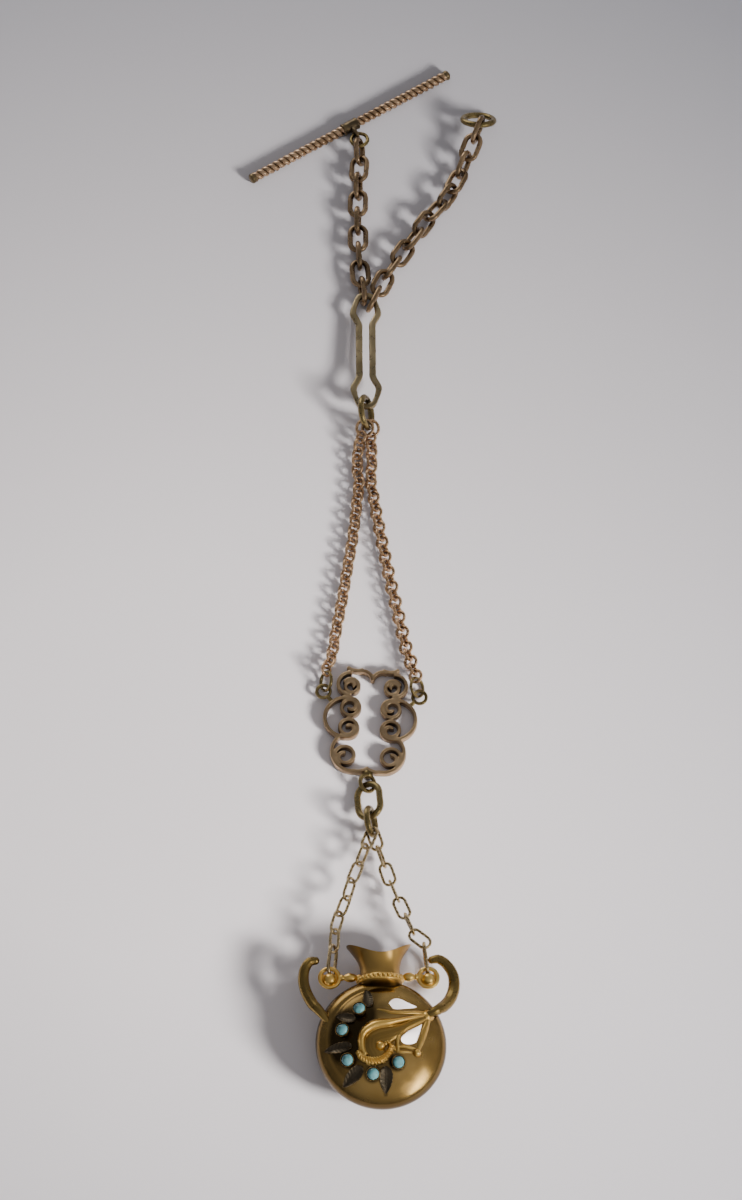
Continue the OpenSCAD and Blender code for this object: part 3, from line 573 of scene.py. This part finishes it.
ribbons = [ribbon_part(row, side) for row in scrolls for side in (1, -1)]
loops, loop_r = [], 0.95
for at, side in (((-6.8, -14.5, 0.95), -1), ((6.95, -15.4, 0.95), 1)):
    loops.append(placed(ring_of_wire(loop_r, 0.5, 40, 12), at))
    big = turn([(side * scrolls[0][0], scrolls[0][1], 0)], z=plaque_turn)[0] + plaque_at
    big[2] = at[2]
    way = (big - at) / np.linalg.norm(big - at)
    rod = np.linspace(at + way * loop_r, big - way * 2.9, 6)
    loops.append(sweep(rod, circle_section(), 0.3))
loops.append(placed(ring_of_wire(1.22, 0.6, 48, 12), (-0.5, -28.45, 1.3), y=35))
post = lathe([(0, 0.02), (0.65, 0.02), (0.65, 1.45), (0, 1.48)], 24)
loops.append(placed(post, (-0.5, -26.98, 0)))
make_piece("plaque_loops", loops, ring_finish, ["filigree_plaque"], "plaque_gold")
plaque = make_piece("openwork_plaque", ribbons, plaque_finish, ["filigree_plaque"],
                    "plaque_gold")
fuse = plaque.modifiers.new("fuse", "REMESH")
fuse.mode = "VOXEL"
fuse.voxel_size = 0.000105
fuse.use_smooth_shade = True
relax = plaque.modifiers.new("relax", "SMOOTH")
relax.factor = 0.5
relax.iterations = 3

# %% [markdown]
# ## The flask's body
# The body is a hollow lens, like two watch glasses face to face, with a round rim.
# It is turned on a lathe, and its surface is blackened where the leaves and stones
# hold the dirt. The pierced places are cut with a boolean, right through. From here
# on, u runs across the flask, v up to its neck and w out of its front.

# %% The lens and its lean
body_r, body_h, rim_r = 9.0, 4.0, 1.9
cap_r = (body_r ** 2 - 2 * body_r * rim_r + body_h ** 2) / (2 * (body_h - rim_r))
cap_end = cap_r * (body_r - rim_r) / (cap_r - rim_r)
lean = 6
flask_at = np.array([1.37, -67.14, cap_r - (cap_r - body_h) * math.cos(math.radians(lean))
                     + 0.01])


def on_flask(points):
    return turn(turn(points, y=lean), z=2.5) + flask_at


def flask_piece(name, parts, *rest):
    return make_piece(name, [(on_flask(points), faces) for points, faces in parts], *rest)


def dome(u, v):
    r = np.hypot(u, v)
    inside = np.sqrt(np.maximum(cap_r ** 2 - r ** 2, 0.01)) - (cap_r - body_h)
    edge = np.sqrt(np.maximum(rim_r ** 2 - (r - (body_r - rim_r)) ** 2, 0.01))
    return np.where(r < cap_end, inside, edge)


def step(x, low, high):
    t = np.clip((x - low) / (high - low), 0, 1)
    return t * t * (3 - 2 * t)


# Columns: base u, base v, tip u, tip v, half width
leaves = [(-1.75, 4.4, -2.0, 7.1, 0.6), (-3.7, 2.7, -6.3, 3.4, 0.6),
          (-4.3, -0.95, -8.0, -1.3, 0.6), (-3.05, -3.8, -5.6, -6.2, 0.78),
          (0.1, -3.9, 0.1, -7.4, 0.8)]
settings = [(-3.05, 3.75), (-5.3, 1.05), (-4.8, -2.85), (-1.65, -4.75), (1.6, -3.38)]


def body_darkening(u, v, w):
    """Darker between the scroll and the rim, at the upper left, towards the left, low on the rim
    and on the back, and around the leaves and stones.
    """
    r = np.hypot(u, v)
    dark = step(-u + 0.2 * v, 0.2, 2.4) * step(v, -4.8, -2.2)
    dark *= (1 - 0.35 * step(v, 3.2, 5.6)) * (1 - step(r, 6.7, 8.2))
    dark = np.maximum.reduce([
        dark, 0.55 * step(v, 2.2, 3.6) * step(-u, -3.0, 0.6) * (1 - step(v, 4.4, 6.6)),
        0.42 * step(-u, 3.5, 6.5) * (1 - step(v, 5.0, 8.0)), 0.76 * (1 - step(w, 0.7, 2.4))]
        + [0.9 * (1 - step(np.hypot(u - su, v - sv), 0.9, 1.5)) for su, sv in settings])
    for bu, bv, tu, tv, half in leaves:
        run = np.hypot(tu - bu, tv - bv)
        t = np.clip(((u - bu) * (tu - bu) + (v - bv) * (tv - bv)) / run ** 2, 0, 1)
        away = np.hypot(u - bu - t * (tu - bu), v - bv - t * (tv - bv))
        reach = half * (1.05 - 0.7 * t)
        dark = np.maximum(dark, 0.6 * (1 - step(away, reach * 0.8, reach * 1.25)))
    return dark


def lens(inset, steps):
    """A cap, half a rim's round and the same cap upside down, drawn in by the inset."""
    angle, cap_steps, rim_steps = math.asin(cap_end / cap_r), 40, 12
    cap, rim = cap_r - inset, rim_r - inset
    rows = [(cap * math.sin(b), cap * math.cos(b) - cap_r + body_h)
            for b in angle * np.arange(cap_steps + 1) / cap_steps]
    rows += [(body_r - rim_r + rim * math.cos(b), rim * math.sin(b))
             for b in (math.pi / 2 - angle) * (1 - np.arange(1, 2 * rim_steps) / rim_steps)]
    rows += [(r, -z) for r, z in rows[cap_steps::-1]]
    return lathe(rows[::-1], steps)


# %% Turn the body and cut its openings
wall_thick = 0.5
outside, inside = lens(0, 192), lens(wall_thick, 96)
u, v, w = outside[0].T
r = np.hypot(u, v)
# A shallow channel inside the rim, deepest at the upper left
channel_r, channel_half = 7.35, 0.3
channel = np.exp(-((r - channel_r) / channel_half) ** 2) * step(-u + 0.4 * v, -1.0, 5.0) * (w > 0)
hollow = 0.2 * channel + 0.014 * np.sin(u * 1.1 + 1) * np.sin(v * 0.9 + 2) * (r < 7)
outside[0][:, 2] -= hollow * np.sign(w)
tarnish = np.concatenate([body_darkening(u, v, w), np.zeros(len(inside[0]))])
body = flask_piece("flask_body", [outside, (inside[0], [f[::-1] for f in inside[1]])],
                   flask_finish, ["flask"], "flask_gold", {"tarnish": tarnish})
teardrop = [(0.98, 5.0), (1.7, 5.6), (2.6, 5.55), (3.7, 4.95), (4.8, 4.36), (2.7, 4.18),
            (1.5, 4.3)]
triangle = [(5.6, 2.35), (4.0, 1.36), (2.48, 0.2), (2.45, -0.5), (3.1, -0.84), (4.15, -0.78),
            (4.66, -0.15)]


def cutter_part(rows):
    """A slanted plug, a little wider at the flask's back."""
    # Two rows are repeated at each end, so that the curve closes, and then left out
    loop = smooth(rows[-2:] + rows + rows[:2], 5)[10:-10]
    if np.cross(loop, np.roll(loop, -1, 0)).sum() < 0:
        loop = loop[::-1]
    middle = np.mean(rows, 0)
    lift = float(dome(*middle))
    levels = [(3, 1.0), (-2.2, 1.0), (-2.6, 1.22), (-12, 1.22)]
    points = []
    for height, grow in levels:
        flat = (loop - middle) * grow
        points.append(turn(np.c_[flat, np.full(len(flat), height)], x=15, y=-5)
                      + [*middle, lift])
    n, count = len(loop), len(levels)
    faces = net_faces(count, n, flip=True)
    faces += [tuple(range(n)), tuple(range(count * n - 1, (count - 1) * n - 1, -1))]
    return on_flask(np.vstack(points)), faces


for rows in (teardrop, triangle):
    mesh = new_mesh("cutter", *cutter_part(rows))
    cutter = add_object("cutter", mesh)
    cut = body.modifiers.new("cut", "BOOLEAN")
    cut.operation, cut.object, cut.solver = "DIFFERENCE", cutter, "EXACT"
    bpy.context.view_layer.objects.active = body
    bpy.ops.object.modifier_apply(modifier="cut")
    bpy.data.objects.remove(cutter)
    bpy.data.meshes.remove(mesh)
print("body after cutting:", len(body.data.polygons))

# %% [markdown]
# ## Neck and collar
# The neck is a waisted tube whose mouth is cut to a saddle, so that it ends in a horn
# at each side. Its wall is bent down along the saddle's curve as it is turned, which
# keeps the lip's edge clean. A collar of two hoops with a row of beads between them
# hides the joint with the body.

# %% Neck, collar and beads
# The wall is bent more and more between bend_from and the lip
neck_u, bend_from, lip_v, lip_half, lip_dip = 0.3, 7.9, 14.0, 4.5, 1.75
# Columns: height, radius
neck_rows = smooth([(6.9, 2.6), (7.9, 2.9), (8.6, 3.0), (9.4, 2.85), (10.3, 2.74), (11.2, 2.85),
                    (12.1, 3.2), (13, 3.75), (13.6, 4.18), (14, 4.5)], 6)
saddle_r = (lip_half ** 2 + lip_dip ** 2) / (2 * lip_dip)
around = full_turn(144)


def neck_wall(inset):
    rows = []
    for height, radius in neck_rows:
        x = (radius - inset) * np.cos(around)
        z = (radius - inset) * np.sin(around)
        limit = lip_v - lip_dip + saddle_r - np.sqrt(np.maximum(saddle_r ** 2 - x ** 2, 0))
        share = (height - bend_from) / (lip_v - bend_from)
        y = bend_from + (limit - bend_from) * share
        # The radius belongs to the height that the saddle leaves
        at = np.interp(y, neck_rows[:, 0], neck_rows[:, 1]) - inset
        # Below the collar a shoulder eases down onto the dome
        flat = np.interp(y, [7.2, 7.8, 8.5], [0.42, 0.68, 0.98])
        rows.append(np.c_[at * np.cos(around) + neck_u, y, flat * at * np.sin(around)])
    return np.array(rows)


# The outer wall rises to the lip, and the inner one goes back down as far as the collar
neck_thick, inner_foot = 0.35, 18
wall = np.concatenate([neck_wall(0), neck_wall(neck_thick)[:inner_foot:-1]])
n, m = wall.shape[:2]
neck_faces = net_faces(n, m, flip=True)
neck_faces.append(tuple(range((n - 1) * m, n * m)))
neck_points = wall.reshape(-1, 3)
# Painted shade: the neck is darkened at its left, away from the lamps, at its foot under the
# collar, and inside
within = np.arange(len(neck_points)) >= len(neck_rows) * m + m
neck_painted_shade = 0.5 * step(-neck_points[:, 0], 0.5, 3.6) + 0.9 * within
neck_painted_shade = np.maximum(neck_painted_shade, 0.85 * (1 - step(neck_points[:, 1], 8.0, 8.6)))
flask_piece("flask_neck", [(neck_points, neck_faces)], neck_finish, ["flask"], "flask_gold",
            {"tarnish": neck_painted_shade})
beads = [placed(ring_of_wire(radius, wire, 96, 12), (neck_u, height, 0), x=-90)
         for height, radius, wire in ((8.72, 2.95, 0.42), (9.32, 2.85, 0.32))]
bead_count, bead_row_r = 30, 3.06
for b in full_turn(bead_count):
    bead_at = (neck_u + bead_row_r * math.cos(b), 9.0, bead_row_r * math.sin(b))
    beads.append(ball(bead_at, 0.3, 14))
flask_piece("neck_collar", beads, scroll_finish, ["flask"], "flask_gold")

# %% [markdown]
# ## Rosettes and their arms
# Each arm is a turned rod with a swelling in it, and ends in a rosette: a ring round a
# shallow cup with a bright ball in it. The pendant's chains hang from these rings.

# %% Arms, cups and balls
arm_rows = [(0.3, 0), (0.42, 0.05), (0.42, 0.3), (0.33, 0.42), (0.5, 0.62), (0.62, 0.95),
            (0.6, 1.2), (0.42, 1.5), (0.33, 1.6), (0.46, 1.75), (0.4, 1.92), (0.36, 2.1)]
arm_v, arm_start, arm_sunk, ring_reach = 9.5, 2.6, 2.5, 1.3
rosette_parts = []
for side, (cu, cv) in ((-1, (-6.7, 9.5)), (1, (6.95, 9.35))):
    # The arm fills what lies between the neck and the ring
    reach = abs(cu - neck_u) - ring_reach - arm_sunk
    rows = [(radius, height * reach / arm_rows[-1][1]) for radius, height in smooth(arm_rows, 3)]
    arm = placed(lathe(rows, 28), (neck_u + side * arm_start, arm_v, 0), y=90 * side)
    # A shallow dish fills the ring's lower part and carries the ball
    b = np.radians(np.linspace(-215, 35, 50))
    dish = sweep(np.c_[cu + np.cos(b), cv + np.sin(b), 0 * b - 0.06],
                 circle_section() * [0.36, 0.1])
    ring = placed(ring_of_wire(1.32, 0.6, 56, 16), (cu, cv, 0.08))
    rosette_parts += [arm, ring, dish, ball((cu, cv - 0.3, 0.3), 0.9)]
flask_piece("rosettes_and_arms", rosette_parts, scroll_finish, ["flask"], "flask_gold")

# %% [markdown]
# ## Handles
# The handles are C-shaped tubes that grow out of the rim and curl in at the top. A
# ridge runs along the inner side, and the right one is roped on its outer lower edge.

# %% Tapering tubes with a ridge
# Columns: u, v, height over the middle plane, radius
handle_rows = {
    "left": [(-7.2, 2.9, 1.35, 0.4), (-8.05, 3.95, 1.6, 0.6), (-8.65, 4.75, 1.45, 0.7),
             (-9.3, 5.7, 0.9, 0.78), (-10.0, 7.4, 0.3, 0.78), (-10.3, 9.1, 0, 0.76),
             (-10.1, 10.7, 0, 0.72), (-9.4, 11.8, 0, 0.66), (-8.55, 11.98, 0, 0.55)],
    "right": [(5.9, 3.2, 2.1, 0.35), (7.1, 3.85, 2.3, 0.62), (7.9, 4.3, 2.05, 0.72),
              (8.8, 4.95, 1.3, 0.8), (9.8, 6.15, 0.5, 0.82), (10.45, 7.8, 0.1, 0.8),
              (10.45, 9.6, 0, 0.76), (9.7, 11.1, 0, 0.72), (8.6, 11.95, 0, 0.66),
              (7.6, 11.88, 0, 0.55)]}


def handle_part(rows, roped):
    rows = smooth(rows, 16)
    run = np.concatenate([[0], np.cumsum(np.linalg.norm(np.diff(rows[:, :3], axis=0), axis=1))])
    a = full_turn(40)
    sections = []
    for s, row in zip(run, rows):
        shape = np.ones_like(a)
        # Three soft facets with two fine grooves between them, on the upper face
        for groove in (0.38, 0.66):
            shape -= 0.07 * np.exp(-((a - np.pi * groove) / 0.13) ** 2)
        if roped and 1.5 < s < 9:
            fade = step(s, 1.5, 2.5) * (1 - step(s, 7.5, 9))
            outer_side = np.exp(-(a / 0.6) ** 2) + np.exp(-((a - 2 * np.pi) / 0.6) ** 2)
            shape += 0.06 * fade * outer_side * np.cos(2 * np.pi * s / 0.42 + 1.2 * a)
        sections.append(np.c_[np.cos(a), np.sin(a)] * (shape * row[3])[:, None])
    path = rows[:, :3]
    # Round off the free tip
    tip, back = path[-1], path[-1] - path[-2]
    back = back / np.linalg.norm(back)
    radius = rows[-1, 3]
    for k in range(1, 7):
        b = math.pi / 2 * k / 6
        path = np.vstack([path, tip + back * radius * math.sin(b)])
        sections.append(sections[len(rows) - 1] * max(math.cos(b), 0.02))
    return sweep(path, np.array(sections))


for name, rows in handle_rows.items():
    flask_piece("handle_tube_" + name, [handle_part(rows, roped=name == "right")],
                handle_finish, ["handle_" + name], "flask_gold")

# %% [markdown]
# ## The scroll
# The raised scroll is a stamped relief: a horn that swells and curls round a boss,
# with a fluted fringe below. It is modelled as a height over the dome on a fine net,
# one band after another, and the highest band wins at each point of the net.

# %% Bands of the relief
# Columns: u, v, half width, height
horn_rows = [(6.5, 3.62, 0.2, 0.3), (5.2, 3.2, 0.3, 0.42), (3.9, 2.78, 0.38, 0.52),
             (2.9, 2.52, 0.45, 0.6), (2.0, 2.3, 0.53, 0.68), (1.2, 2.13, 0.63, 0.75),
             (0.5, 2.0, 0.72, 0.8), (-0.3, 1.92, 0.8, 0.84), (-1.0, 1.8, 0.84, 0.86),
             (-1.8, 1.5, 0.82, 0.86), (-2.45, 1.05, 0.74, 0.84), (-2.85, 0.5, 0.64, 0.8),
             (-3.05, -0.1, 0.58, 0.72), (-3.1, -0.8, 0.56, 0.62), (-3.0, -1.5, 0.5, 0.5),
             (-2.7, -2.1, 0.4, 0.38)]
bowl_rows = [(5.9, 3.05, 0.2, 0.3), (4.2, 2.2, 0.32, 0.4), (2.9, 1.5, 0.5, 0.46),
             (1.8, 0.85, 0.85, 0.5), (0.6, 0.35, 1.15, 0.5), (-0.6, -0.15, 1.45, 0.46),
             (-1.3, -1.1, 1.5, 0.4), (-1.0, -2.2, 1.1, 0.36)]
fringe_rows = [(-3.6, -1.9, 0.32, 0.34), (-3.2, -2.5, 0.46, 0.46), (-2.4, -3.0, 0.56, 0.58),
               (-1.6, -3.22, 0.6, 0.66), (-0.7, -3.12, 0.62, 0.72), (0.1, -2.7, 0.6, 0.76),
               (0.66, -2.05, 0.5, 0.76), (0.88, -1.4, 0.38, 0.72), (0.7, -0.92, 0.26, 0.64),
               (0.25, -0.7, 0.19, 0.55), (-0.15, -0.85, 0.14, 0.45)]
rib_rows = [[(6.5, 3.85, 0.3, 0.32), (5.0, 3.72, 0.36, 0.38), (3.0, 3.6, 0.38, 0.4),
             (1.2, 3.6, 0.36, 0.36), (0.2, 3.9, 0.3, 0.24), (-0.9, 4.1, 0.2, 0.1)],
            [(6.5, 3.3, 0.3, 0.34), (5.4, 2.5, 0.36, 0.42), (4.25, 1.9, 0.4, 0.48),
             (3.05, 1.24, 0.42, 0.52), (2.15, 0.5, 0.42, 0.54), (1.85, -0.2, 0.4, 0.52),
             (1.8, -1.0, 0.36, 0.5), (1.85, -1.75, 0.32, 0.46)],
            [(6.5, 3.1, 0.4, 0.34), (5.95, 1.6, 0.52, 0.36), (5.45, 0.3, 0.54, 0.36),
             (5.0, -0.8, 0.46, 0.34), (4.65, -1.6, 0.34, 0.34)],
            [(1.7, -1.36, 0.26, 0.44), (2.8, -1.3, 0.34, 0.52), (4.1, -1.5, 0.3, 0.44)],
            [(1.7, -1.98, 0.24, 0.4), (2.7, -2.0, 0.3, 0.46), (3.7, -2.0, 0.2, 0.3)],
            [(1.15, -1.1, 0.16, 0.52), (1.3, -1.45, 0.22, 0.58), (1.42, -1.85, 0.14, 0.44)]]
net = 0.042
U, V = np.meshgrid(np.arange(-4.1, 7.3, net), np.arange(-4.2, 4.7, net), indexing="ij")


def band_reading(rows):
    """Reads each net point against a band: how far from its line, the signed distance
    across, the place along it, and the band's half width and height there."""
    line = smooth(rows, 8)
    run = 0.0
    best = [np.full(U.shape, 1e9)] + [np.zeros(U.shape)] * 4
    for first, second in zip(line, line[1:]):
        du, dv, wider, higher = second - first
        off_u, off_v = U - first[0], V - first[1]
        length = math.hypot(du, dv)
        t = np.clip((off_u * du + off_v * dv) / length ** 2, 0, 1)
        found = [np.hypot(off_u - t * du, off_v - t * dv), (du * off_v - dv * off_u) / length,
                 run + t * length, first[2] + t * wider, first[3] + t * higher]
        nearer = found[0] < best[0]
        best = [np.where(nearer, new, old) for new, old in zip(found, best)]
        run += length
    return [best[0] / best[3]] + best[1:]


def half_round(distance):
    return np.sqrt(np.clip(1 - distance ** 2, 0, 1))


def soft_hump(distance):
    """A low pressed shape: rounded on top and easing out at its foot."""
    return np.clip(1 - distance ** 2, 0, 1) ** 1.25


horn_near, horn_across, _, horn_width, horn_height = band_reading(horn_rows)
near, _, _, _, height = band_reading(bowl_rows)
# Soft lines run round the bowl, side by side with the horn's inner edge
lines = 0.01 * np.cos(2 * np.pi * (horn_across - horn_width) / 0.46)
bowl = (height + lines) * half_round(near) ** 0.8
relief = np.maximum(bowl, 0)
# The crest lies towards the outside of the horn
slope = np.clip(horn_across / horn_width, -1, 1)
crest = np.clip(1 - horn_near ** 2, 0, 1) ** 0.95 * (1 - 0.1 * slope)
relief = np.maximum(relief, horn_height * crest)
# Slanting flutes cross the fringe
near, across, along, _, height = band_reading(fringe_rows)
flute = 0.5 + 0.5 * np.cos(2 * np.pi * (along + 0.5 * across) / 0.37)
fringe = 1.05 * height * half_round(near) * (0.56 + 0.44 * flute)
relief = np.maximum(relief, fringe)
for rows in rib_rows:
    near, _, _, _, height = band_reading(rows)
    relief = np.maximum(relief, 0.8 * height * soft_hump(near))
for bu, bv, radius in ((-0.58, -1.25, 0.62), (4.55, -2.12, 0.5)):
    away = np.hypot(U - bu, V - bv) / radius
    relief = np.maximum(relief, np.where(away < 1, radius * (0.55 + half_round(away)), 0))

# %% Soften the net, trim it and lay it on the dome
# A low knot joins the ribs to the handle's root
knot = np.hypot(U - 6.45, V - 3.45) / 0.95
relief = np.maximum(relief, 0.62 * soft_hump(knot))
for _ in range(5):
    around_it = sum(np.roll(relief, way, axis) for axis in (0, 1) for way in (1, -1)) / 4
    relief = 0.5 * relief + 0.5 * around_it
trim_at, sunk = 0.012, 0.08
keep = relief > trim_at
kept_cells = keep[:-1, :-1] | keep[1:, :-1] | keep[:-1, 1:] | keep[1:, 1:]
squares = np.array(net_faces(*U.shape, loop_columns=False, flip=True))
cells = squares[kept_cells.reshape(-1)]
height_over = dome(U, V) - sunk + relief
net_points = np.stack([U, V, height_over], -1).reshape(-1, 3)
used = np.unique(cells)
renumber = np.full(U.size, -1)
renumber[used] = np.arange(len(used))
cells = renumber[cells]
# Dirt lies at the foot of the relief and in its bowl
deep = np.clip(1 - relief.reshape(-1)[used] / 0.5, 0, 1)
in_bowl = (np.abs(relief - bowl) < 0.04) & (bowl > 0.1)
deep = np.maximum(deep * 0.8, 0.68 * in_bowl.reshape(-1)[used])
flask_piece("raised_scroll", [(net_points[used], cells)], scroll_finish,
            ["scroll_ornament"], "scroll_gold", {"tarnish": deep})

# %% [markdown]
# ## Leaves
# The leaves are blackened metal, folded along the middle, with veins pressed in and
# edges that rubbing has brought back to gold. Each is a small net between a base and
# a tip, pointed at both ends.

# %% Five folded leaves
def leaf_part(row):
    base, tip, half = np.array(row[:2]), np.array(row[2:4]), row[4]
    run = tip - base
    side = np.array([-run[1], run[0]]) / np.linalg.norm(run)
    t = np.linspace(0, 1, 41)[:, None]
    s = np.linspace(-1, 1, 25)[None, :]
    width = half * np.maximum(np.sin(np.pi * t ** 0.8), 0) ** 0.72 * 1.14 + 0.01
    wave = 1 + 0.05 * np.sin(2 * np.pi * t * 7)
    u = base[0] + t * run[0] + side[0] * width * s * wave
    v = base[1] + t * run[1] + side[1] * width * s * wave
    fold = 0.3 * np.abs(s) ** 1.6 + 0.16
    vein = 0.035 * np.exp(-(np.abs(s) / 0.07) ** 2) \
        + 0.02 * np.cos(2 * np.pi * (t * 8 + np.abs(s) * 1.1)) * (np.abs(s) > 0.1)
    lift = (fold + vein) * np.clip(np.sin(np.pi * np.clip(t, 0.02, 0.98)) * 3, 0.3, 1)
    lift = lift + 0.18 * t ** 3
    w = dome(u, v) + lift
    top_face = np.stack([u, v, w], -1)
    under = np.stack([u, v, dome(u, v) + 0.04 + 0 * w], -1)
    edge = np.abs(s) + 0 * t
    shine = np.clip((edge - 0.86) / 0.12, 0, 1) * (0.35 + 0.3 * np.sin(9 * t + 2 * s))
    points = np.vstack([top_face.reshape(-1, 3), under.reshape(-1, 3)])
    n, m = u.shape
    faces = net_faces(n, m, loop_columns=False, flip=True)
    number = np.arange(n * m).reshape(n, m)
    rim = [*number[:, 0], *number[-1, 1:], *number[-2::-1, -1], *number[0, -2:0:-1]]
    faces += [(first, first + n * m, second + n * m, second)
              for first, second in zip(rim, rim[1:] + rim[:1])]
    return points, faces, np.concatenate([shine.reshape(-1), np.zeros(n * m)])


for k, row in enumerate(leaves, 1):
    points, faces, shine = leaf_part(row)
    flask_piece(f"folded_leaf_{k}", [(points, faces)], leaf_finish, [f"leaf_{k}"],
                "leaf_metal", {"tarnish": shine})

# %% [markdown]
# ## Stones in their collets
# Each turquoise is a domed cabochon in a small cup. The cup's thin edge is pressed
# over the stone, so it shows as a bright line, mostly at the lower right.

# %% Collets and cabochons
def at_setting(points, u, v):
    """Stands a part on the dome, leaning as the dome does there."""
    lift = 0.12
    tip_over = math.degrees(math.asin(min(math.hypot(u, v), cap_end) / cap_r))
    points = turn(turn(points + [0, 0, lift], y=tip_over), z=math.degrees(math.atan2(v, u)))
    return points + [u, v, float(dome(u, v))]


cup = [(0.2, 0.0), (0.74, 0.0), (0.78, 0.12), (0.7, 0.3), (0.8, 0.62), (0.92, 0.92),
       (0.95, 1.05), (0.94, 1.1), (0.9, 1.12), (0.865, 1.06), (0.865, 0.66), (0.2, 0.66)]
a = np.linspace(0, np.pi / 2, 14)
cabochon = [(0.2, 0.72), (0.79, 0.72)] + [(0.81 * math.cos(b), 0.9 + 0.6 * math.sin(b))
                                         for b in a]
for k, (u, v) in enumerate(settings, 1):
    for name, profile, finish, node_name, slot in (
            ("collet_cup", cup, collet_finish, "collet", "collet_gold"),
            ("cabochon", cabochon, turquoise_finish, "stone", "turquoise")):
        points, faces = lathe(profile, 48)
        flask_piece(f"{name}_{k}", [(at_setting(points, u, v), faces)], finish,
                    [f"{node_name}_{k}"], slot)

# %% [markdown]
# ## Paper
# The fob lies on one sheet of pale paper. It runs far past the view. A pool of light is painted
# into its colour: bright and warm near the flask, and a cooler grey away from it, in a soft round
# gradient. Its grain is only a faint bump.

# %% The sheet of paper
paper, tree, face = new_material("pale_paper")
grain = noise(tree, 900, 5)
# A painted pool of light: the paper's colour grows darker and cooler with distance from a point
# by the flask
away = work_out(tree, "VectorMath", "DISTANCE", here(tree), (-0.029, -0.03, 0))
painted_light_pool = ramp(tree, away, 0.03, 0.15, (0.8, 0.745, 0.765, 1), (0.35, 0.345, 0.38, 1))
fill(face, "Base Color", mix(tree, ramp(tree, grain, 0.3, 0.7), painted_light_pool, (0.5, 0.5, 0.5, 1),
                             "OVERLAY"))
fill(face, "Roughness", 0.85)
roughen(tree, face, grain, 0.08, 0.00005)
mesh = bpy.data.meshes.new("paper")
mesh.from_pydata([(-3, -3, 0), (3, -3, 0), (3, 3, 0), (-3, 3, 0)], [], [(0, 1, 2, 3)])
mesh.materials.append(paper)
floor = add_object("paper", mesh)

# %% [markdown]
# ## Light
# The shadows fall to the left and slightly away, so the lamp stands low at the right,
# a little towards the viewer. A small lamp gives shadows their edge, but its mirror
# image would be a harsh white spot on gold. So the work is shared: one lamp lights the
# paper and the stones, and a large dim one at the same place makes the soft highlights
# on the metal. Another such lamp beyond the far left lights the horn's outer slope.
# A faint lamp overhead lightens the shadows, and two tiny ones in the flask light the
# paper under its openings. The room around is grey, and lighter on the lamp's side and
# beyond the far end, where raised edges mirror it.

# %% The lamps
from mathutils import Vector


def lamp(name, spot, goal, size, power, colour, hidden):
    """A round lamp aimed at a goal. The kind of ray that hidden names doesn't meet it."""
    light = bpy.data.lights.new(name, "AREA")
    light.shape, light.size, light.energy, light.color = "DISK", size, power, colour
    obj = add_object(name, light)
    obj.location = spot
    obj.rotation_euler = (Vector(goal) - Vector(spot)).to_track_quat("-Z", "Y").to_euler()
    setattr(obj, "visible_" + hidden, False)
    return light


warm_white = (1.0, 0.985, 0.96)
shadow_lamp = lamp("shadow_lamp", (0.375, -0.27, 0.25), (-0.05, -0.03, 0), 0.13, 0.9,
                   warm_white, "glossy")
shadow_lamp.spread = math.radians(62)
sheen_lamp = lamp("sheen_lamp", (0.375, -0.3, 0.235), (0, -0.03, 0), 0.26, 0.5,
                  (1.0, 0.97, 0.92), "diffuse")
sheen_lamp.shape, sheen_lamp.size_y = "ELLIPSE", 0.075
lamp("far_sheen", (-0.17, 0.37, 0.14), (0, -0.07, 0), 0.26, 0.46, (1.0, 0.98, 0.94), "diffuse")
lamp("overhead_glow", (0, 0.1, 0.9), (0, 0, 0), 0.9, 0.7, (0.97, 0.98, 1.0), "glossy")
for name, u, v in (("inner_light_left", 2.56, 4.6), ("inner_light_right", 4.0, 0.3)):
    spot, goal = (on_flask(np.array([[u, v, w]])) + MARK for w in (0.5, -3.0))
    lamp(name, spot[0] / 1000, goal[0] / 1000, 0.003, 0.0006, warm_white, "camera")

# %% The room
room = bpy.data.worlds.new("room")
bpy.context.scene.world = room
room.use_nodes = True
tree = room.node_tree
back = tree.nodes["Background"]


def facing(way):
    """How far a direction in the room agrees with a way, from -1 to 1."""
    looking = node(tree, "ShaderNodeTexCoord").outputs["Generated"]
    return work_out(tree, "VectorMath", "DOT_PRODUCT", looking, way)


side_glow = ramp(tree, facing((0.74, -0.48, 0.47)), 0.0, 1.0, (0.19, 0.19, 0.2, 1),
                 (0.46, 0.45, 0.44, 1))
far_glow = ramp(tree, facing((0, 0.97, 0.24)), 0.62, 0.97)
fill(back, "Color", mix(tree, far_glow, side_glow, (0.42, 0.42, 0.43, 1)))
fill(back, "Strength", 1.0)

# %% [markdown]
# ## Camera
# The picture was taken from the pendant's end, looking down at about 68 degrees, from
# half a metre away. The camera aims at the middle of the fob.

# %% The camera
elevation, distance, focal_share = 68, 0.5, 3450 / 1200
eye = bpy.data.cameras.new("camera")
eye.sensor_width = 36.0
eye.lens = focal_share * eye.sensor_width
eye.clip_start = 0.01
camera = add_object("camera", eye)
tilt = math.radians(elevation)
camera.location = Vector(MARK / 1000) + distance * Vector((0, -math.cos(tilt), math.sin(tilt)))
camera.rotation_euler = (math.pi / 2 - tilt, 0, 0)
bpy.context.scene.camera = camera
